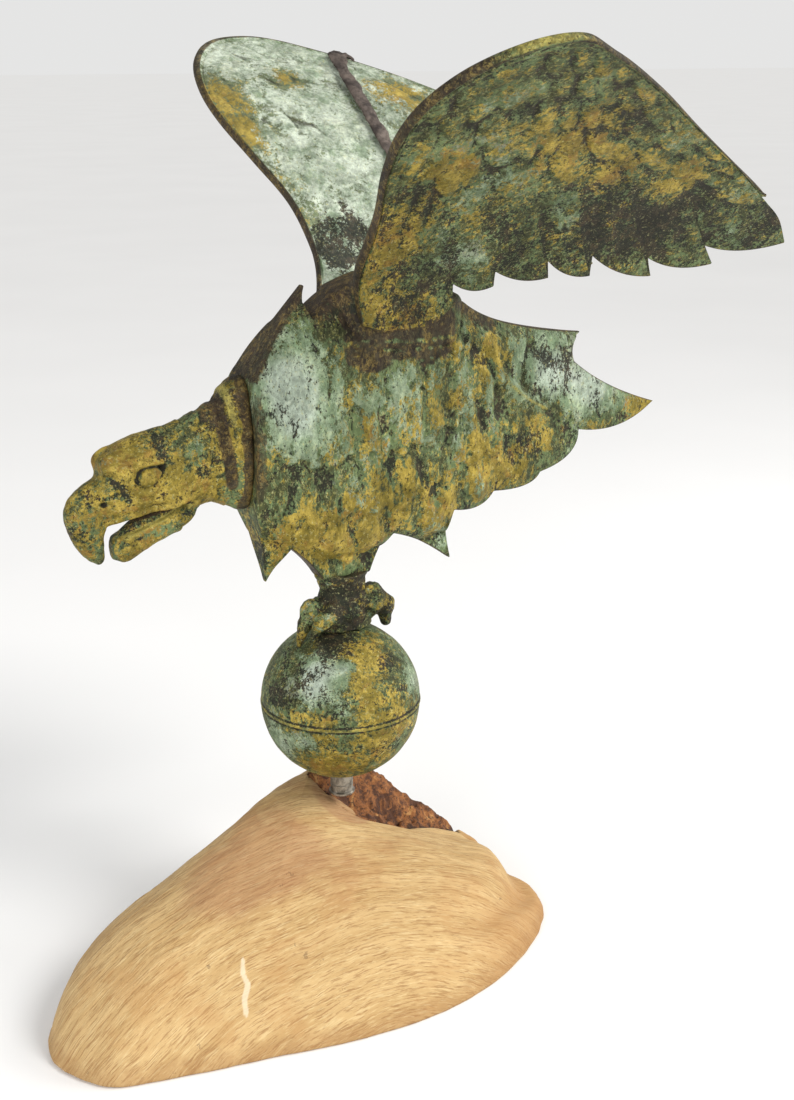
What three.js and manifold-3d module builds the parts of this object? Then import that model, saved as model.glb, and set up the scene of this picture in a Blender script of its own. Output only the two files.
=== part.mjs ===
// Eagle weathervane: a swell-bodied eagle with raised wings, perched on a two-part ball
// that stands on a short ferrule in a rough wooden knot. Millimetres, +Z up.
// The bird looks along -X, its left wing is on -Y. The origin is on the flat underside
// of the wood, straight below the ball.
import * as THREE from 'three';
import { ParametricGeometry } from 'three/addons/geometries/ParametricGeometry.js';
import { mergeVertices } from 'three/addons/utils/BufferGeometryUtils.js';
import Module from 'manifold-3d';

const wasm = await Module();
wasm.setup();

// Driving dimensions
const GAP = 0.3;
const BALL_RADIUS = 50.8;
const BALL_HEIGHT = 165;
const WOOD_SEAT_HEIGHT = 98;

// Wood
const WOOD_LIP = 5;
const WOOD_PEAK = { x: -16, y: 16 };
const WOOD_TOP = 107;
const WOOD_CRUMBLE = 3;
const WOOD_SIDES = 42;
const WOOD_RINGS = 13;
const WOOD_ADZE = 0.9;

// Ferrule
const FERRULE_RADIUS = 7.4;
const FERRULE_LIP_RADIUS = 8.4;
const FERRULE_LIP_HEIGHT = 1.8;

// Ball
const BALL_SIDES = 24;
const CUP_STEPS = 6;
const SEAM_STANDS_OUT = 1;
const SEAM_HALF_WIDTH = 1.1;
const SEAM_FADES_AT = 1.8;

// Body
const BODY_FRONT_X = -62;
const BODY_FOOT = 84;
const BODY_LENGTH = 318;
const BODY_LOW = 76;
const BODY_HEIGHT = 200;
const SOCKET_HALF = 26.5;
const BODY_CELLS_X = 31;
const BODY_CELLS_Z = 20;
const LOCK_LENGTH = 27;
const LOCK_WIDTH = 23;
const LOCK_RISE = 3;

// Wings
const WING_ROOT = { x: 0, y: 28, z: BALL_HEIGHT + 255 };
const WING_RISE = THREE.MathUtils.degToRad(53);
const WING_RIM_HALF = 2.6;
const WING_WEB_HALF = 2.3;
const WING_EDGE_HALF = 0.8;
const SCALE_RISE = 2;
const WING_LEAN = 8;
const WING_ROWS = 12;
const FEATHER_STEPS = 3;
const FEATHER_BELLY = 3;

// Brace
const BRACE_ALONG = 79;
const BRACE_WIDTH = 11;
const BRACE_THICK = 3.6;
const BRACE_TOP = 186;
const BRACE_FOOT = 14;
const BRACE_STEPS = 12;

// Head and legs
const HEAD_SIDES = 14;
const JAW_SIDES = 12;
const LEG_SIDES = 14;
const TOE_SIDES = 8;

// Finishes
const verdigris = (name) => new THREE.MeshStandardMaterial({
  name, color: 0x7f9070, roughness: 0.72, metalness: 0.35,
});
const gilt = new THREE.MeshStandardMaterial({
  name: 'gilt', color: 0xa08a34, roughness: 0.6, metalness: 0.45,
});
const darkIron = new THREE.MeshStandardMaterial({
  name: 'dark_iron', color: 0x46413a, roughness: 0.8, metalness: 0.5,
});
const greyMetal = new THREE.MeshStandardMaterial({
  name: 'grey_metal', color: 0x85827a, roughness: 0.5, metalness: 0.7,
});
const bareWood = new THREE.MeshStandardMaterial({
  name: 'bare_wood', color: 0xcba873, roughness: 0.85, metalness: 0,
});

// Small helpers
const { clamp } = THREE.MathUtils;

// A smooth step from 0 to 1 as value goes from low to high.
function ease(value, low, high) {
  return THREE.MathUtils.smoothstep(value, low, high);
}

// Reads a value off a list of [place, value] stops, straight between them.
function between(stops, place) {
  if (place <= stops[0][0]) {
    return stops[0][1];
  }
  for (let i = 1; i < stops.length; i += 1) {
    const [highPlace, highValue] = stops[i];
    const [lowPlace, lowValue] = stops[i - 1];
    if (place <= highPlace) {
      return lowValue + (highValue - lowValue) * (place - lowPlace) / (highPlace - lowPlace);
    }
  }
  return stops[stops.length - 1][1];
}

// Merges shared vertices, drops triangles that closed to a line and turns the faces outward.
function closeUp(geometry) {
  geometry.deleteAttribute('normal');
  geometry.deleteAttribute('uv');
  const merged = mergeVertices(geometry, 1e-3);
  const place = merged.attributes.position;
  const index = merged.index.array;
  const kept = [];
  let volume = 0;
  const a = new THREE.Vector3();
  const b = new THREE.Vector3();
  const c = new THREE.Vector3();
  for (let i = 0; i < index.length; i += 3) {
    const corners = [index[i], index[i + 1], index[i + 2]];
    if (new Set(corners).size === 3) {
      kept.push(...corners);
      a.fromBufferAttribute(place, corners[0]);
      b.fromBufferAttribute(place, corners[1]);
      c.fromBufferAttribute(place, corners[2]);
      volume += a.dot(b.cross(c));
    }
  }
  if (volume < 0) {
    kept.reverse();
  }
  merged.setIndex(kept);
  return merged;
}

// A closed skin from a function of two parameters, each running from 0 to 1.
function skin(point, columns, rows) {
  return closeUp(new ParametricGeometry(point, columns, rows));
}

function toSolid(geometry) {
  return new wasm.Manifold(new wasm.Mesh({
    numProp: 3,
    vertProperties: new Float32Array(geometry.attributes.position.array),
    triVerts: new Uint32Array(geometry.index.array),
  }));
}

function fromSolid(solid) {
  const mesh = solid.getMesh();
  const geometry = new THREE.BufferGeometry();
  geometry.setAttribute('position', new THREE.BufferAttribute(new Float32Array(mesh.vertProperties), 3));
  geometry.setIndex(Array.from(mesh.triVerts));
  return geometry;
}

// A flat outline in the bird's middle plane, given as [x, height], made into a plate
// reaching halfWidth to each side.
function sidePlate(outline, halfWidth) {
  const plate = new THREE.ExtrudeGeometry(outline, {
    depth: 2 * halfWidth, bevelEnabled: false, curveSegments: 4,
  });
  plate.translate(0, 0, -halfWidth);
  plate.rotateX(Math.PI / 2);
  return closeUp(plate);
}

function addPart(parent, name, geometry, material) {
  geometry.computeVertexNormals();
  const mesh = new THREE.Mesh(geometry, material);
  mesh.name = name;
  parent.add(mesh);
  return mesh;
}

// Wood: a heap over a closed footprint, its slope set by the direction from the peak
const woodRim = new THREE.CatmullRomCurve3([
  [-217, -44], [-198, -84], [-160, -97], [-105, -108], [-50, -119], [5, -121], [55, -109], [95, -87],
  [121, -62], [129, -36], [121, -10], [118, 14], [92, 44], [50, 66], [-10, 74], [-75, 62], [-140, 34], [-192, 2],
].map(([x, y]) => new THREE.Vector3(x, y, 0)), true, 'centripetal');

// The slopes by direction in degrees: each gives the height, as a share of the peak's,
// at these shares of the way from the peak to the rim.
const slopeReaches = [0, 0.2, 0.4, 0.6, 0.8, 0.93, 1];
const woodSlopes = [
  [-180, [1, 0.93, 0.74, 0.58, 0.42, 0.25, 0]],
  [-130, [1, 0.93, 0.8, 0.64, 0.43, 0.22, 0]],
  [-90, [1, 0.86, 0.74, 0.61, 0.43, 0.23, 0]],
  [-50, [1, 0.79, 0.66, 0.56, 0.42, 0.25, 0]],
  [-28, [1, 0.74, 0.6, 0.5, 0.36, 0.1, 0]],
  [-15, [1, 0.73, 0.57, 0.46, 0.34, 0.1, 0]],
  [-3, [1, 0.76, 0.6, 0.5, 0.38, 0.24, 0]],
  [12, [1, 0.98, 0.91, 0.76, 0.47, 0.27, 0]],
  [35, [1, 0.99, 0.94, 0.8, 0.47, 0.22, 0]],
  [90, [1, 0.96, 0.87, 0.72, 0.5, 0.28, 0]],
  [150, [1, 0.94, 0.79, 0.63, 0.46, 0.27, 0]],
  [180, [1, 0.93, 0.74, 0.58, 0.42, 0.25, 0]],
];

function woodShare(bearing, reach) {
  let after = 1;
  while (woodSlopes[after][0] < bearing) {
    after += 1;
  }
  const [low, lowShares] = woodSlopes[after - 1];
  const [high, highShares] = woodSlopes[after];
  const blend = (bearing - low) / (high - low);
  const shares = lowShares.map((share, i) => share + (highShares[i] - share) * blend);
  return between(slopeReaches.map((place, i) => [place, shares[i]]), reach);
}

// The heap's height, with adze waves all over and a crumbling break beside the ferrule.
function woodHeight(x, y, reach) {
  const bearing = THREE.MathUtils.radToDeg(Math.atan2(y - WOOD_PEAK.y, x - WOOD_PEAK.x));
  const heap = (WOOD_TOP - WOOD_LIP) * woodShare(bearing, reach);
  const adze = WOOD_ADZE * Math.sin(x / 19 + y / 31) * Math.sin(y / 23 - x / 57);
  const sector = ease(bearing, -14, -4) * (1 - ease(bearing, 12, 24));
  const broken = sector * ease(reach, 0.1, 0.2) * (1 - ease(reach, 0.75, 0.9));
  const crumble = WOOD_CRUMBLE * Math.sin(x * 0.83 + y * 0.37) * Math.cos(y * 0.71 - x * 0.29);
  return WOOD_LIP + heap + adze * ease(1 - reach, 0, 0.2) + broken * (crumble - WOOD_CRUMBLE);
}

function buildWood() {
  const point = (u, v, target) => {
    const rim = woodRim.getPoint(u);
    const step = v * WOOD_RINGS;
    if (step < 0.5) {
      target.set(WOOD_PEAK.x, WOOD_PEAK.y, 0);
      return;
    }
    if (step < 1.5) {
      target.set(rim.x, rim.y, 0);
      return;
    }
    const reach = 1 - ((step - 2) / (WOOD_RINGS - 2));
    const x = WOOD_PEAK.x + (rim.x - WOOD_PEAK.x) * reach;
    const y = WOOD_PEAK.y + (rim.y - WOOD_PEAK.y) * reach;
    target.set(x, y, woodHeight(x, y, reach));
  };
  const heap = toSolid(skin(point, WOOD_SIDES, WOOD_RINGS));
  const boreRadius = FERRULE_LIP_RADIUS + GAP;
  const bore = new THREE.CylinderGeometry(boreRadius, boreRadius, BALL_RADIUS, BALL_SIDES);
  bore.rotateX(Math.PI / 2);
  bore.translate(0, 0, WOOD_SEAT_HEIGHT + BALL_RADIUS / 2);
  return fromSolid(heap.subtract(toSolid(closeUp(bore))));
}

// Ferrule: a short turned sleeve with a lip at its foot
function buildFerrule() {
  const foot = WOOD_SEAT_HEIGHT + GAP;
  const top = BALL_HEIGHT - BALL_RADIUS - GAP;
  return closeUp(new THREE.LatheGeometry([
    new THREE.Vector2(0, foot),
    new THREE.Vector2(FERRULE_LIP_RADIUS, foot),
    new THREE.Vector2(FERRULE_LIP_RADIUS, foot + FERRULE_LIP_HEIGHT),
    new THREE.Vector2(FERRULE_RADIUS, foot + FERRULE_LIP_HEIGHT + 0.8),
    new THREE.Vector2(FERRULE_RADIUS, top),
    new THREE.Vector2(0, top),
  ], 20).rotateX(Math.PI / 2));
}

// Ball: two spun cups that meet at a lipped seam round the middle
function buildCup(side) {
  const seamRadius = BALL_RADIUS + SEAM_STANDS_OUT;
  const profile = [new THREE.Vector2(0, side * GAP / 2)];
  profile.push(new THREE.Vector2(seamRadius, side * GAP / 2));
  profile.push(new THREE.Vector2(seamRadius, side * SEAM_HALF_WIDTH));
  profile.push(new THREE.Vector2(BALL_RADIUS, side * SEAM_FADES_AT));
  for (let i = 1; i <= CUP_STEPS; i += 1) {
    const rise = (i / CUP_STEPS) * Math.PI / 2;
    profile.push(new THREE.Vector2(BALL_RADIUS * Math.cos(rise), side * BALL_RADIUS * Math.sin(rise)));
  }
  profile[profile.length - 1].x = 0;
  const cup = new THREE.LatheGeometry(profile, BALL_SIDES);
  cup.rotateX(Math.PI / 2);
  cup.translate(0, 0, BALL_HEIGHT);
  return closeUp(cup);
}

// Body: its outline in the middle plane, x along the bird and z above the ball's centre
function bodyOutline() {
  const outline = new THREE.Shape();
  outline.moveTo(BODY_FRONT_X, 214);
  outline.quadraticCurveTo(-42, 244, -22, 265);
  outline.quadraticCurveTo(-25, 256, -21, 247);
  outline.quadraticCurveTo(-8, 262, 14, 270);
  outline.quadraticCurveTo(52, 272, 85, 247);
  outline.quadraticCurveTo(108, 229, 178, 220);
  outline.quadraticCurveTo(166, 212, 171, 202);
  outline.quadraticCurveTo(196, 182, 241, 167);
  outline.quadraticCurveTo(214, 147, 176, 156);
  outline.quadraticCurveTo(178, 136, 146, 131);
  outline.quadraticCurveTo(142, 119, 108, 124);
  outline.quadraticCurveTo(101, 110, 76, 117);
  outline.quadraticCurveTo(73, 103, 79, 82);
  outline.quadraticCurveTo(53, 102, 31, 109);
  outline.quadraticCurveTo(22, 95, 18, BODY_FOOT);
  outline.lineTo(-14.5, BODY_FOOT);
  outline.quadraticCurveTo(-22, 97, -36, 108);
  outline.quadraticCurveTo(-45, 99, -51, 88);
  outline.quadraticCurveTo(-56, 121, BODY_FRONT_X, 134);
  return outline;
}

// Half the body's thickness at x and height z: a swelled shell, fullest under the wings,
// square-shouldered at the wing sockets and thin along the tail.
function bodyHalf(x, z) {
  const middle = between([[-62, 176], [30, 184], [130, 176], [241, 168]], x);
  const reach = between([[-62, 54], [-10, 82], [60, 82], [110, 66], [170, 46], [241, 20]], x);
  const swell = between([[-62, 11], [-20, 17], [40, 19], [110, 13], [170, 7], [241, 1.5]], x);
  const rimmed = between([[-62, 9], [-10, 8], [40, 7], [110, 2.4], [241, 1.4]], x);
  const edge = rimmed * (1 - 0.6 * ease(z, 225, 262));
  const off = clamp((z - middle) / reach, -1, 1);
  const shell = edge + swell * Math.sqrt(1 - off * off);
  const socket = 28 * (1 - ((x - 36) / 62) ** 4 - ((z - 248) / 34) ** 4);
  const crownCut = between([[225, 40], [238, 27], [250, 24], [262, 12], [272, 3]], z);
  return Math.min(Math.max(shell, Math.min(socket, SOCKET_HALF)), crownCut);
}

// Overlapping locks of feathers that run back and down, each row half a lock out of step.
function lockRelief(x, z) {
  const along = 0.87 * x - 0.5 * z;
  const across = 0.5 * x + 0.87 * z;
  const row = Math.floor(along / LOCK_LENGTH);
  const stretch = along / LOCK_LENGTH - row;
  const ridge = Math.abs(Math.sin(Math.PI * (across / LOCK_WIDTH + 0.5 * (row & 1))));
  const fade = ease(x, -58, -40) * (1 - ease(x, 150, 230));
  return LOCK_RISE * fade * ridge * (0.3 + 0.7 * stretch);
}

function buildBody(wingRoots) {
  const slab = new THREE.BoxGeometry(BODY_LENGTH, 2, BODY_HEIGHT, BODY_CELLS_X, 1, BODY_CELLS_Z);
  slab.translate(BODY_FRONT_X + BODY_LENGTH / 2 - 1, 0, BODY_LOW + BODY_HEIGHT / 2);
  const place = slab.attributes.position;
  for (let i = 0; i < place.count; i += 1) {
    const x = place.getX(i);
    const z = place.getZ(i);
    place.setY(i, place.getY(i) * (bodyHalf(x, z) + lockRelief(x, z)));
  }
  const shell = toSolid(closeUp(slab));
  let body = shell.intersect(toSolid(sidePlate(bodyOutline(), 2 * SOCKET_HALF)));
  for (const root of wingRoots) {
    body = body.subtract(root);
  }
  const geometry = fromSolid(body);
  geometry.translate(0, 0, BALL_HEIGHT);
  return geometry;
}

// Wings: a plate laid out flat in (along, up) from the wing root, then arched
const leadingEdge = new THREE.CatmullRomCurve3([
  [1, -22], [0, 16], [-3, 60], [-14, 96], [-21, 126], [-21, 152], [-11, 182], [10, 204], [36, 209],
  [72, 192], [122, 162], [180, 123], [262, 70],
].map(([along, up]) => new THREE.Vector3(along, up, 0)), false, 'centripetal');

// The trailing edge: the root, then one entry a feather, [notch, tip], from the body outward.
const wingRootEdge = [[1, -22], [34, -26], [68, -8], [63, 7]];
const featherEnds = [
  [[63, 7], [93, 3]], [[91, 13], [132, 5.5]], [[127, 18], [163, 5]], [[159, 20], [210, 3]],
  [[202, 17], [254, 12]], [[240, 27], [301, 31]],
];

// All the trailing stops, one for each column of the wing's grid.
function trailingStops() {
  const stops = [];
  for (let i = 0; i < wingRootEdge.length - 1; i += 1) {
    stops.push(wingRootEdge[i]);
  }
  for (const [notch, tip] of featherEnds) {
    for (let i = 0; i <= FEATHER_STEPS; i += 1) {
      const run = i / FEATHER_STEPS;
      const belly = FEATHER_BELLY * 4 * run * (1 - run);
      stops.push([notch[0] + (tip[0] - notch[0]) * run, notch[1] + (tip[1] - notch[1]) * run - belly]);
    }
  }
  stops.push([252, 68]);
  stops.push([262, 70]);
  return stops;
}

const trailing = trailingStops();
const WING_COLUMNS = trailing.length - 1;

// How far the arched wing stands off its flat chord plane.
function wingArch(along, up) {
  const rising = 1.2 + 0.068 * along + 0.158 * up;
  const falling = 0.00034 * along ** 2 + 0.00018 * along * up + 0.00163 * up ** 2;
  return rising - falling;
}

function wingPlace(along, up, off, side, target) {
  const stand = wingArch(along, up) + off;
  const out = WING_ROOT.y + up * Math.cos(WING_RISE) - stand * Math.sin(WING_RISE);
  target.set(along, side * out, WING_ROOT.z + up * Math.sin(WING_RISE) + stand * Math.cos(WING_RISE));
}

// Where the leading edge meets each column: it hurries past the root and then keeps pace.
const leadPace = [[0, 0], [0.12, 0.42], [1, 1]];

// A wing skin: side is -1 for the left wing and 1 for the right, extra thickens it all round.
function wingSkin(side, extra) {
  const half = WING_ROWS + 1;
  const loop = 2 * half;
  const point = (u, v, target) => {
    const column = Math.round(u * WING_COLUMNS);
    const slot = Math.round(v * loop) % loop;
    const inner = slot >= half;
    const row = inner ? loop - 1 - slot : slot;
    const rise = row / WING_ROWS;
    const lead = leadingEdge.getPoint(between(leadPace, column / WING_COLUMNS));
    const trail = trailing[column];
    const free = ease(lead.y, -22, 30) * (1 - ease(lead.x, 0, 60));
    const lean = -side * WING_LEAN * free * (lead.y - 115) / 100;
    const along = trail[0] + (lead.x + lean - trail[0]) * rise;
    const up = trail[1] + (lead.y - trail[1]) * rise;
    const plate = WING_EDGE_HALF + (WING_WEB_HALF - WING_EDGE_HALF) * ease(rise, 0, 0.3);
    const rim = (WING_RIM_HALF - WING_WEB_HALF) * ease(rise, 0.9, 1);
    const raised = row % 2 === 0 && (column + row / 2) % 2 === 0;
    const scale = raised && row > 2 && row < WING_ROWS - 1 ? SCALE_RISE : 0;
    const closed = column === 0 || column === WING_COLUMNS;
    const depth = (closed ? WING_EDGE_HALF : plate + rim + scale) + extra;
    wingPlace(along, up, inner ? depth : -depth, side, target);
  };
  return skin(point, WING_COLUMNS, loop);
}

// Brace: a flat forged strap up the inner face of the right wing
function buildBrace() {
  const spot = new THREE.Vector3();
  const near = [];
  const far = [];
  const clear = WING_WEB_HALF + SCALE_RISE + GAP;
  for (let i = 0; i <= BRACE_STEPS; i += 1) {
    const up = BRACE_FOOT + (BRACE_TOP - BRACE_FOOT) * i / BRACE_STEPS;
    wingPlace(BRACE_ALONG, up, clear, 1, spot);
    near.push(new THREE.Vector2(spot.y, spot.z));
    wingPlace(BRACE_ALONG, up, clear + BRACE_THICK, 1, spot);
    far.push(new THREE.Vector2(spot.y, spot.z));
  }
  const ribbon = new THREE.Shape(near.concat(far.reverse()));
  const strap = new THREE.ExtrudeGeometry(ribbon, { depth: BRACE_WIDTH, bevelEnabled: false });
  strap.rotateZ(Math.PI / 2);
  strap.rotateY(Math.PI / 2);
  strap.translate(BRACE_ALONG - BRACE_WIDTH / 2, 0, 0);
  return closeUp(strap);
}

// Head: oval sections from the neck ring to the beak's hook, [topX, topZ, lowX, lowZ, half width]
const headSections = [
  [-62.3, 177, -62.3, 177, 0],
  [-62.3, 216, -62.3, 138, 15], [-64, 217, -64, 136.5, 16.5], [-71, 217, -71, 137, 16.5],
  [-73.5, 214, -73, 140, 14.5], [-80, 207, -79, 143.5, 13], [-91, 198, -88, 144.5, 13.5],
  [-103, 193.5, -98, 140, 15], [-116, 191, -108, 131, 16.5], [-129, 188.5, -121, 143.5, 16.5],
  [-141, 184.5, -132, 141.5, 15.5], [-149.5, 178, -140, 140, 13], [-152.5, 168, -145, 139, 10],
  [-158, 165, -147.5, 138.5, 9.5], [-165, 160, -149, 137, 10], [-170, 154, -150, 134.5, 9.6],
  [-172, 146.5, -150.3, 131.5, 8.6], [-170.3, 138, -150, 128, 7.2], [-166, 128.5, -150, 124, 5.6],
  [-160, 120.5, -150.5, 119.5, 3.6], [-154, 116.5, -152.5, 117, 1], [-153, 116.6, -153, 116.6, 0],
];
const jawSections = [
  [-92, 152, -92, 152, 0],
  [-94, 160, -92, 147, 9], [-105, 147.5, -102, 136, 12.5], [-115, 143.5, -108, 131, 13],
  [-126, 140, -120, 125.5, 12], [-136, 137, -131, 119.8, 10.5], [-143.5, 134.5, -139, 116.3, 8],
  [-146.3, 132, -146, 118, 5], [-146.4, 125, -146.4, 125, 0],
];

function loftOvals(sections, sides) {
  const last = sections.length - 1;
  const point = (u, v, target) => {
    const [topX, topZ, lowX, lowZ, half] = sections[Math.round(u * last)];
    const turn = (Math.round(v * sides) % sides) * 2 * Math.PI / sides;
    const lift = Math.cos(turn);
    const sweep = Math.sin(turn);
    const full = Math.sign(sweep) * Math.abs(sweep) ** 0.8;
    const x = (topX + lowX) / 2 + lift * (topX - lowX) / 2;
    const z = (topZ + lowZ) / 2 + lift * (topZ - lowZ) / 2;
    target.set(x, half * full, z);
  };
  return skin(point, last, sides);
}

function ellipsoid(x, y, z, sizes, tiltY) {
  const ball = new THREE.SphereGeometry(1, 10, 6);
  ball.scale(...sizes);
  ball.rotateY(tiltY);
  ball.translate(x, y, z);
  return toSolid(closeUp(ball));
}

function buildHead() {
  const jaw = toSolid(loftOvals(jawSections, JAW_SIDES));
  let head = toSolid(loftOvals(headSections, HEAD_SIDES)).add(jaw);
  const gape = new THREE.Shape([
    new THREE.Vector2(-103, 149.6), new THREE.Vector2(-149.6, 139.4), new THREE.Vector2(-149.6, 112),
    new THREE.Vector2(-146.4, 112), new THREE.Vector2(-146.4, 134.4), new THREE.Vector2(-126, 140.5),
  ]);
  head = head.subtract(toSolid(sidePlate(gape, SOCKET_HALF)));
  for (const side of [-1, 1]) {
    head = head.add(ellipsoid(-134, side * 12, 176, [17, 4.6, 3.6], -0.32));
    head = head.add(ellipsoid(-125.5, side * 15, 168.5, [7.5, 2.6, 4.4], -0.3));
    head = head.subtract(ellipsoid(-151, side * 10.4, 154, [2.4, 2.2, 1.5], 0.2));
  }
  const geometry = fromSolid(head);
  geometry.translate(0, 0, BALL_HEIGHT);
  return geometry;
}

// Legs: one column that parts into toes which hook over the ball
function horn(points, radii, sides) {
  const route = new THREE.CatmullRomCurve3(points.map(([x, y, z]) => new THREE.Vector3(x, y, z)));
  const steps = 2 * (points.length - 1);
  const frames = route.computeFrenetFrames(steps, false);
  const stops = radii.map((radius, i) => [i * steps / (radii.length - 1), radius]);
  const rings = steps + 2;
  const centre = new THREE.Vector3();
  const point = (u, v, target) => {
    const ring = Math.round(u * rings);
    const stop = clamp(ring - 1, 0, steps);
    const turn = (Math.round(v * sides) % sides) * 2 * Math.PI / sides;
    const size = ring === 0 || ring === rings ? 0 : between(stops, stop);
    route.getPoint(stop / steps, centre);
    target.copy(centre);
    target.addScaledVector(frames.normals[stop], size * Math.cos(turn));
    target.addScaledVector(frames.binormals[stop], size * Math.sin(turn));
  };
  return toSolid(skin(point, rings, sides));
}

const toes = [
  { route: [[-8, 0, 64], [-20, -1, 62.5], [-26, -2, 54], [-31, -3, 41]], sizes: [8, 6.5, 4, 1.4] },
  { route: [[-2, -5, 60], [-12, -9, 60], [-20, -11, 57], [-25, -11, 48.5]], sizes: [10, 7.5, 4.5, 1.4] },
  { route: [[0, 5, 60], [-8, 11, 59], [-14, 15, 55], [-18, 16, 48]], sizes: [10, 7.5, 4.5, 1.4] },
  { route: [[8, -2, 66], [21, -3, 64], [29.5, -3, 58], [32, -3, 45]], sizes: [10, 11, 7.5, 2.4] },
];

// The column's oval levels: back and front x, half width, height.
const legLevels = [
  [18, -14.5, 13, BODY_FOOT - GAP], [17.5, -14, 12.5, 80], [17, -13, 12, 74],
  [19, -14, 12.5, 68], [21, -17, 14, 60], [21, -17, 14, 52],
];

function buildLegs() {
  const rings = legLevels.length + 1;
  const shaft = (u, v, target) => {
    const ring = Math.round(u * rings);
    const [back, front, half, level] = legLevels[clamp(ring - 1, 0, legLevels.length - 1)];
    const size = ring === 0 || ring === rings ? 0 : 1;
    const turn = (Math.round(v * LEG_SIDES) % LEG_SIDES) * 2 * Math.PI / LEG_SIDES;
    const x = (back + front) / 2 + size * Math.cos(turn) * (back - front) / 2;
    target.set(x, size * Math.sin(turn) * half, level);
  };
  let legs = toSolid(skin(shaft, rings, LEG_SIDES));
  for (const { route, sizes } of toes) {
    legs = legs.add(horn(route, sizes, TOE_SIDES));
  }
  const ball = new THREE.SphereGeometry(BALL_RADIUS + 2.5 * GAP, BALL_SIDES, 16);
  const geometry = fromSolid(legs.subtract(toSolid(closeUp(ball))));
  geometry.translate(0, 0, BALL_HEIGHT);
  return geometry;
}

// Assembly
const group = new THREE.Group();
addPart(group, 'wood_base', buildWood(), bareWood);
addPart(group, 'ferrule', buildFerrule(), greyMetal);
addPart(group, 'ball_lower', buildCup(-1), verdigris('ball'));
addPart(group, 'ball_upper', buildCup(1), verdigris('ball'));
addPart(group, 'legs', buildLegs(), verdigris('legs'));
const roots = [-1, 1].map((side) => toSolid(wingSkin(side, GAP).translate(0, 0, -BALL_HEIGHT)));
addPart(group, 'body', buildBody(roots), verdigris('body'));
addPart(group, 'head', buildHead(), gilt);
addPart(group, 'left_wing', wingSkin(-1, 0), verdigris('wing'));
addPart(group, 'right_wing', wingSkin(1, 0), verdigris('wing'));
addPart(group, 'wing_brace', buildBrace(), darkIron);

export default group;
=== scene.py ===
"""Eagle weathervane: the looks of the bird, its ball, ferrule and rough wooden knot."""

import logging
import math
from dataclasses import dataclass, field
from enum import Enum

import bpy
import numpy as np
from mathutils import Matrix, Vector


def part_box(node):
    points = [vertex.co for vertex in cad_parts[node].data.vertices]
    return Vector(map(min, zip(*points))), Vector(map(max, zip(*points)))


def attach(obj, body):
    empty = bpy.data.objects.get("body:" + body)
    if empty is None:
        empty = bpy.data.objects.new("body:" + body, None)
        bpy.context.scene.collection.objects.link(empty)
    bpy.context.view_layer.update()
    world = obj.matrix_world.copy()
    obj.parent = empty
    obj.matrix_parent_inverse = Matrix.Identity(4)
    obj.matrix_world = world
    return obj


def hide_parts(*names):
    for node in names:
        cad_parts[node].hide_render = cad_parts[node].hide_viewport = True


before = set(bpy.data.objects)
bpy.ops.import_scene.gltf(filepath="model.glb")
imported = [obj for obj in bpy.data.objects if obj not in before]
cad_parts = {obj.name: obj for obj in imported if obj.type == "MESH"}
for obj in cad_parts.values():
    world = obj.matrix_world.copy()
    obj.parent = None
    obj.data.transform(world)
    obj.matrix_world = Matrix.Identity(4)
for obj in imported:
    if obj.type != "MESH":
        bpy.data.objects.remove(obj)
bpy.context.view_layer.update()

log = logging.getLogger("weathervane")

Array = np.ndarray
Knots = tuple[tuple[float, ...], ...]
Layers = tuple[tuple[float, float, int], ...]

MM = 0.001
BALL_CENTRE = 165 * MM
BALL_RADIUS = 50.8 * MM
CENTRE = np.array([0, 0, BALL_CENTRE])
WELD = 0.002 * MM
HASH_KEYS = (12.9898, 78.233, 37.719)
HASH_SEED_STEP = 4.137
HASH_SCALE = 43758.5453


# Number helpers


def ease(value: Array, low: float, high: float) -> Array:
    """Smooth step: 3s^2 - 2s^3, where s runs from 0 at low to 1 at high.

    Args:
        value: where to read the step.
        low: value at which the step starts.
        high: value at which it ends.

    Returns:
        Numbers from 0 to 1, in the shape of value.
    """
    share = np.clip((np.asarray(value) - low) / (high - low), 0, 1)
    return share * share * (3 - 2 * share)


def window(value: Array, start: float, full: float, fade: float, gone: float) -> Array:
    """1 from full to fade, easing down to 0 at start and at gone."""
    return ease(value, start, full) * (1 - ease(value, fade, gone))


def hump(value: Array, middle: float, width: float) -> Array:
    """A bell exp(-((value - middle) / width)^2)."""
    return np.exp(-(((np.asarray(value) - middle) / width) ** 2))


def spot_bell(x: Array, z: Array, middle: tuple[float, float], width: tuple[float, float]) -> Array:
    """An oval bell exp(-((x - mx) / wx)^2 - ((z - mz) / wz)^2)."""
    return np.exp(-(((x - middle[0]) / width[0]) ** 2) - ((z - middle[1]) / width[1]) ** 2)


def stops(pairs: Knots, place: Array) -> Array:
    """Reads place off straight lines between (place, value) pairs."""
    table = np.array(pairs, float)
    return np.interp(place, table[:, 0], table[:, 1])


def turned(x: Array, z: Array, middle: tuple[float, float], angle: float) -> tuple[Array, Array]:
    """Coordinates about a middle, along and across a direction at an angle in radians."""
    dx, dz = x - middle[0], z - middle[1]
    cos, sin = math.cos(angle), math.sin(angle)
    return dx * cos + dz * sin, dz * cos - dx * sin


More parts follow.
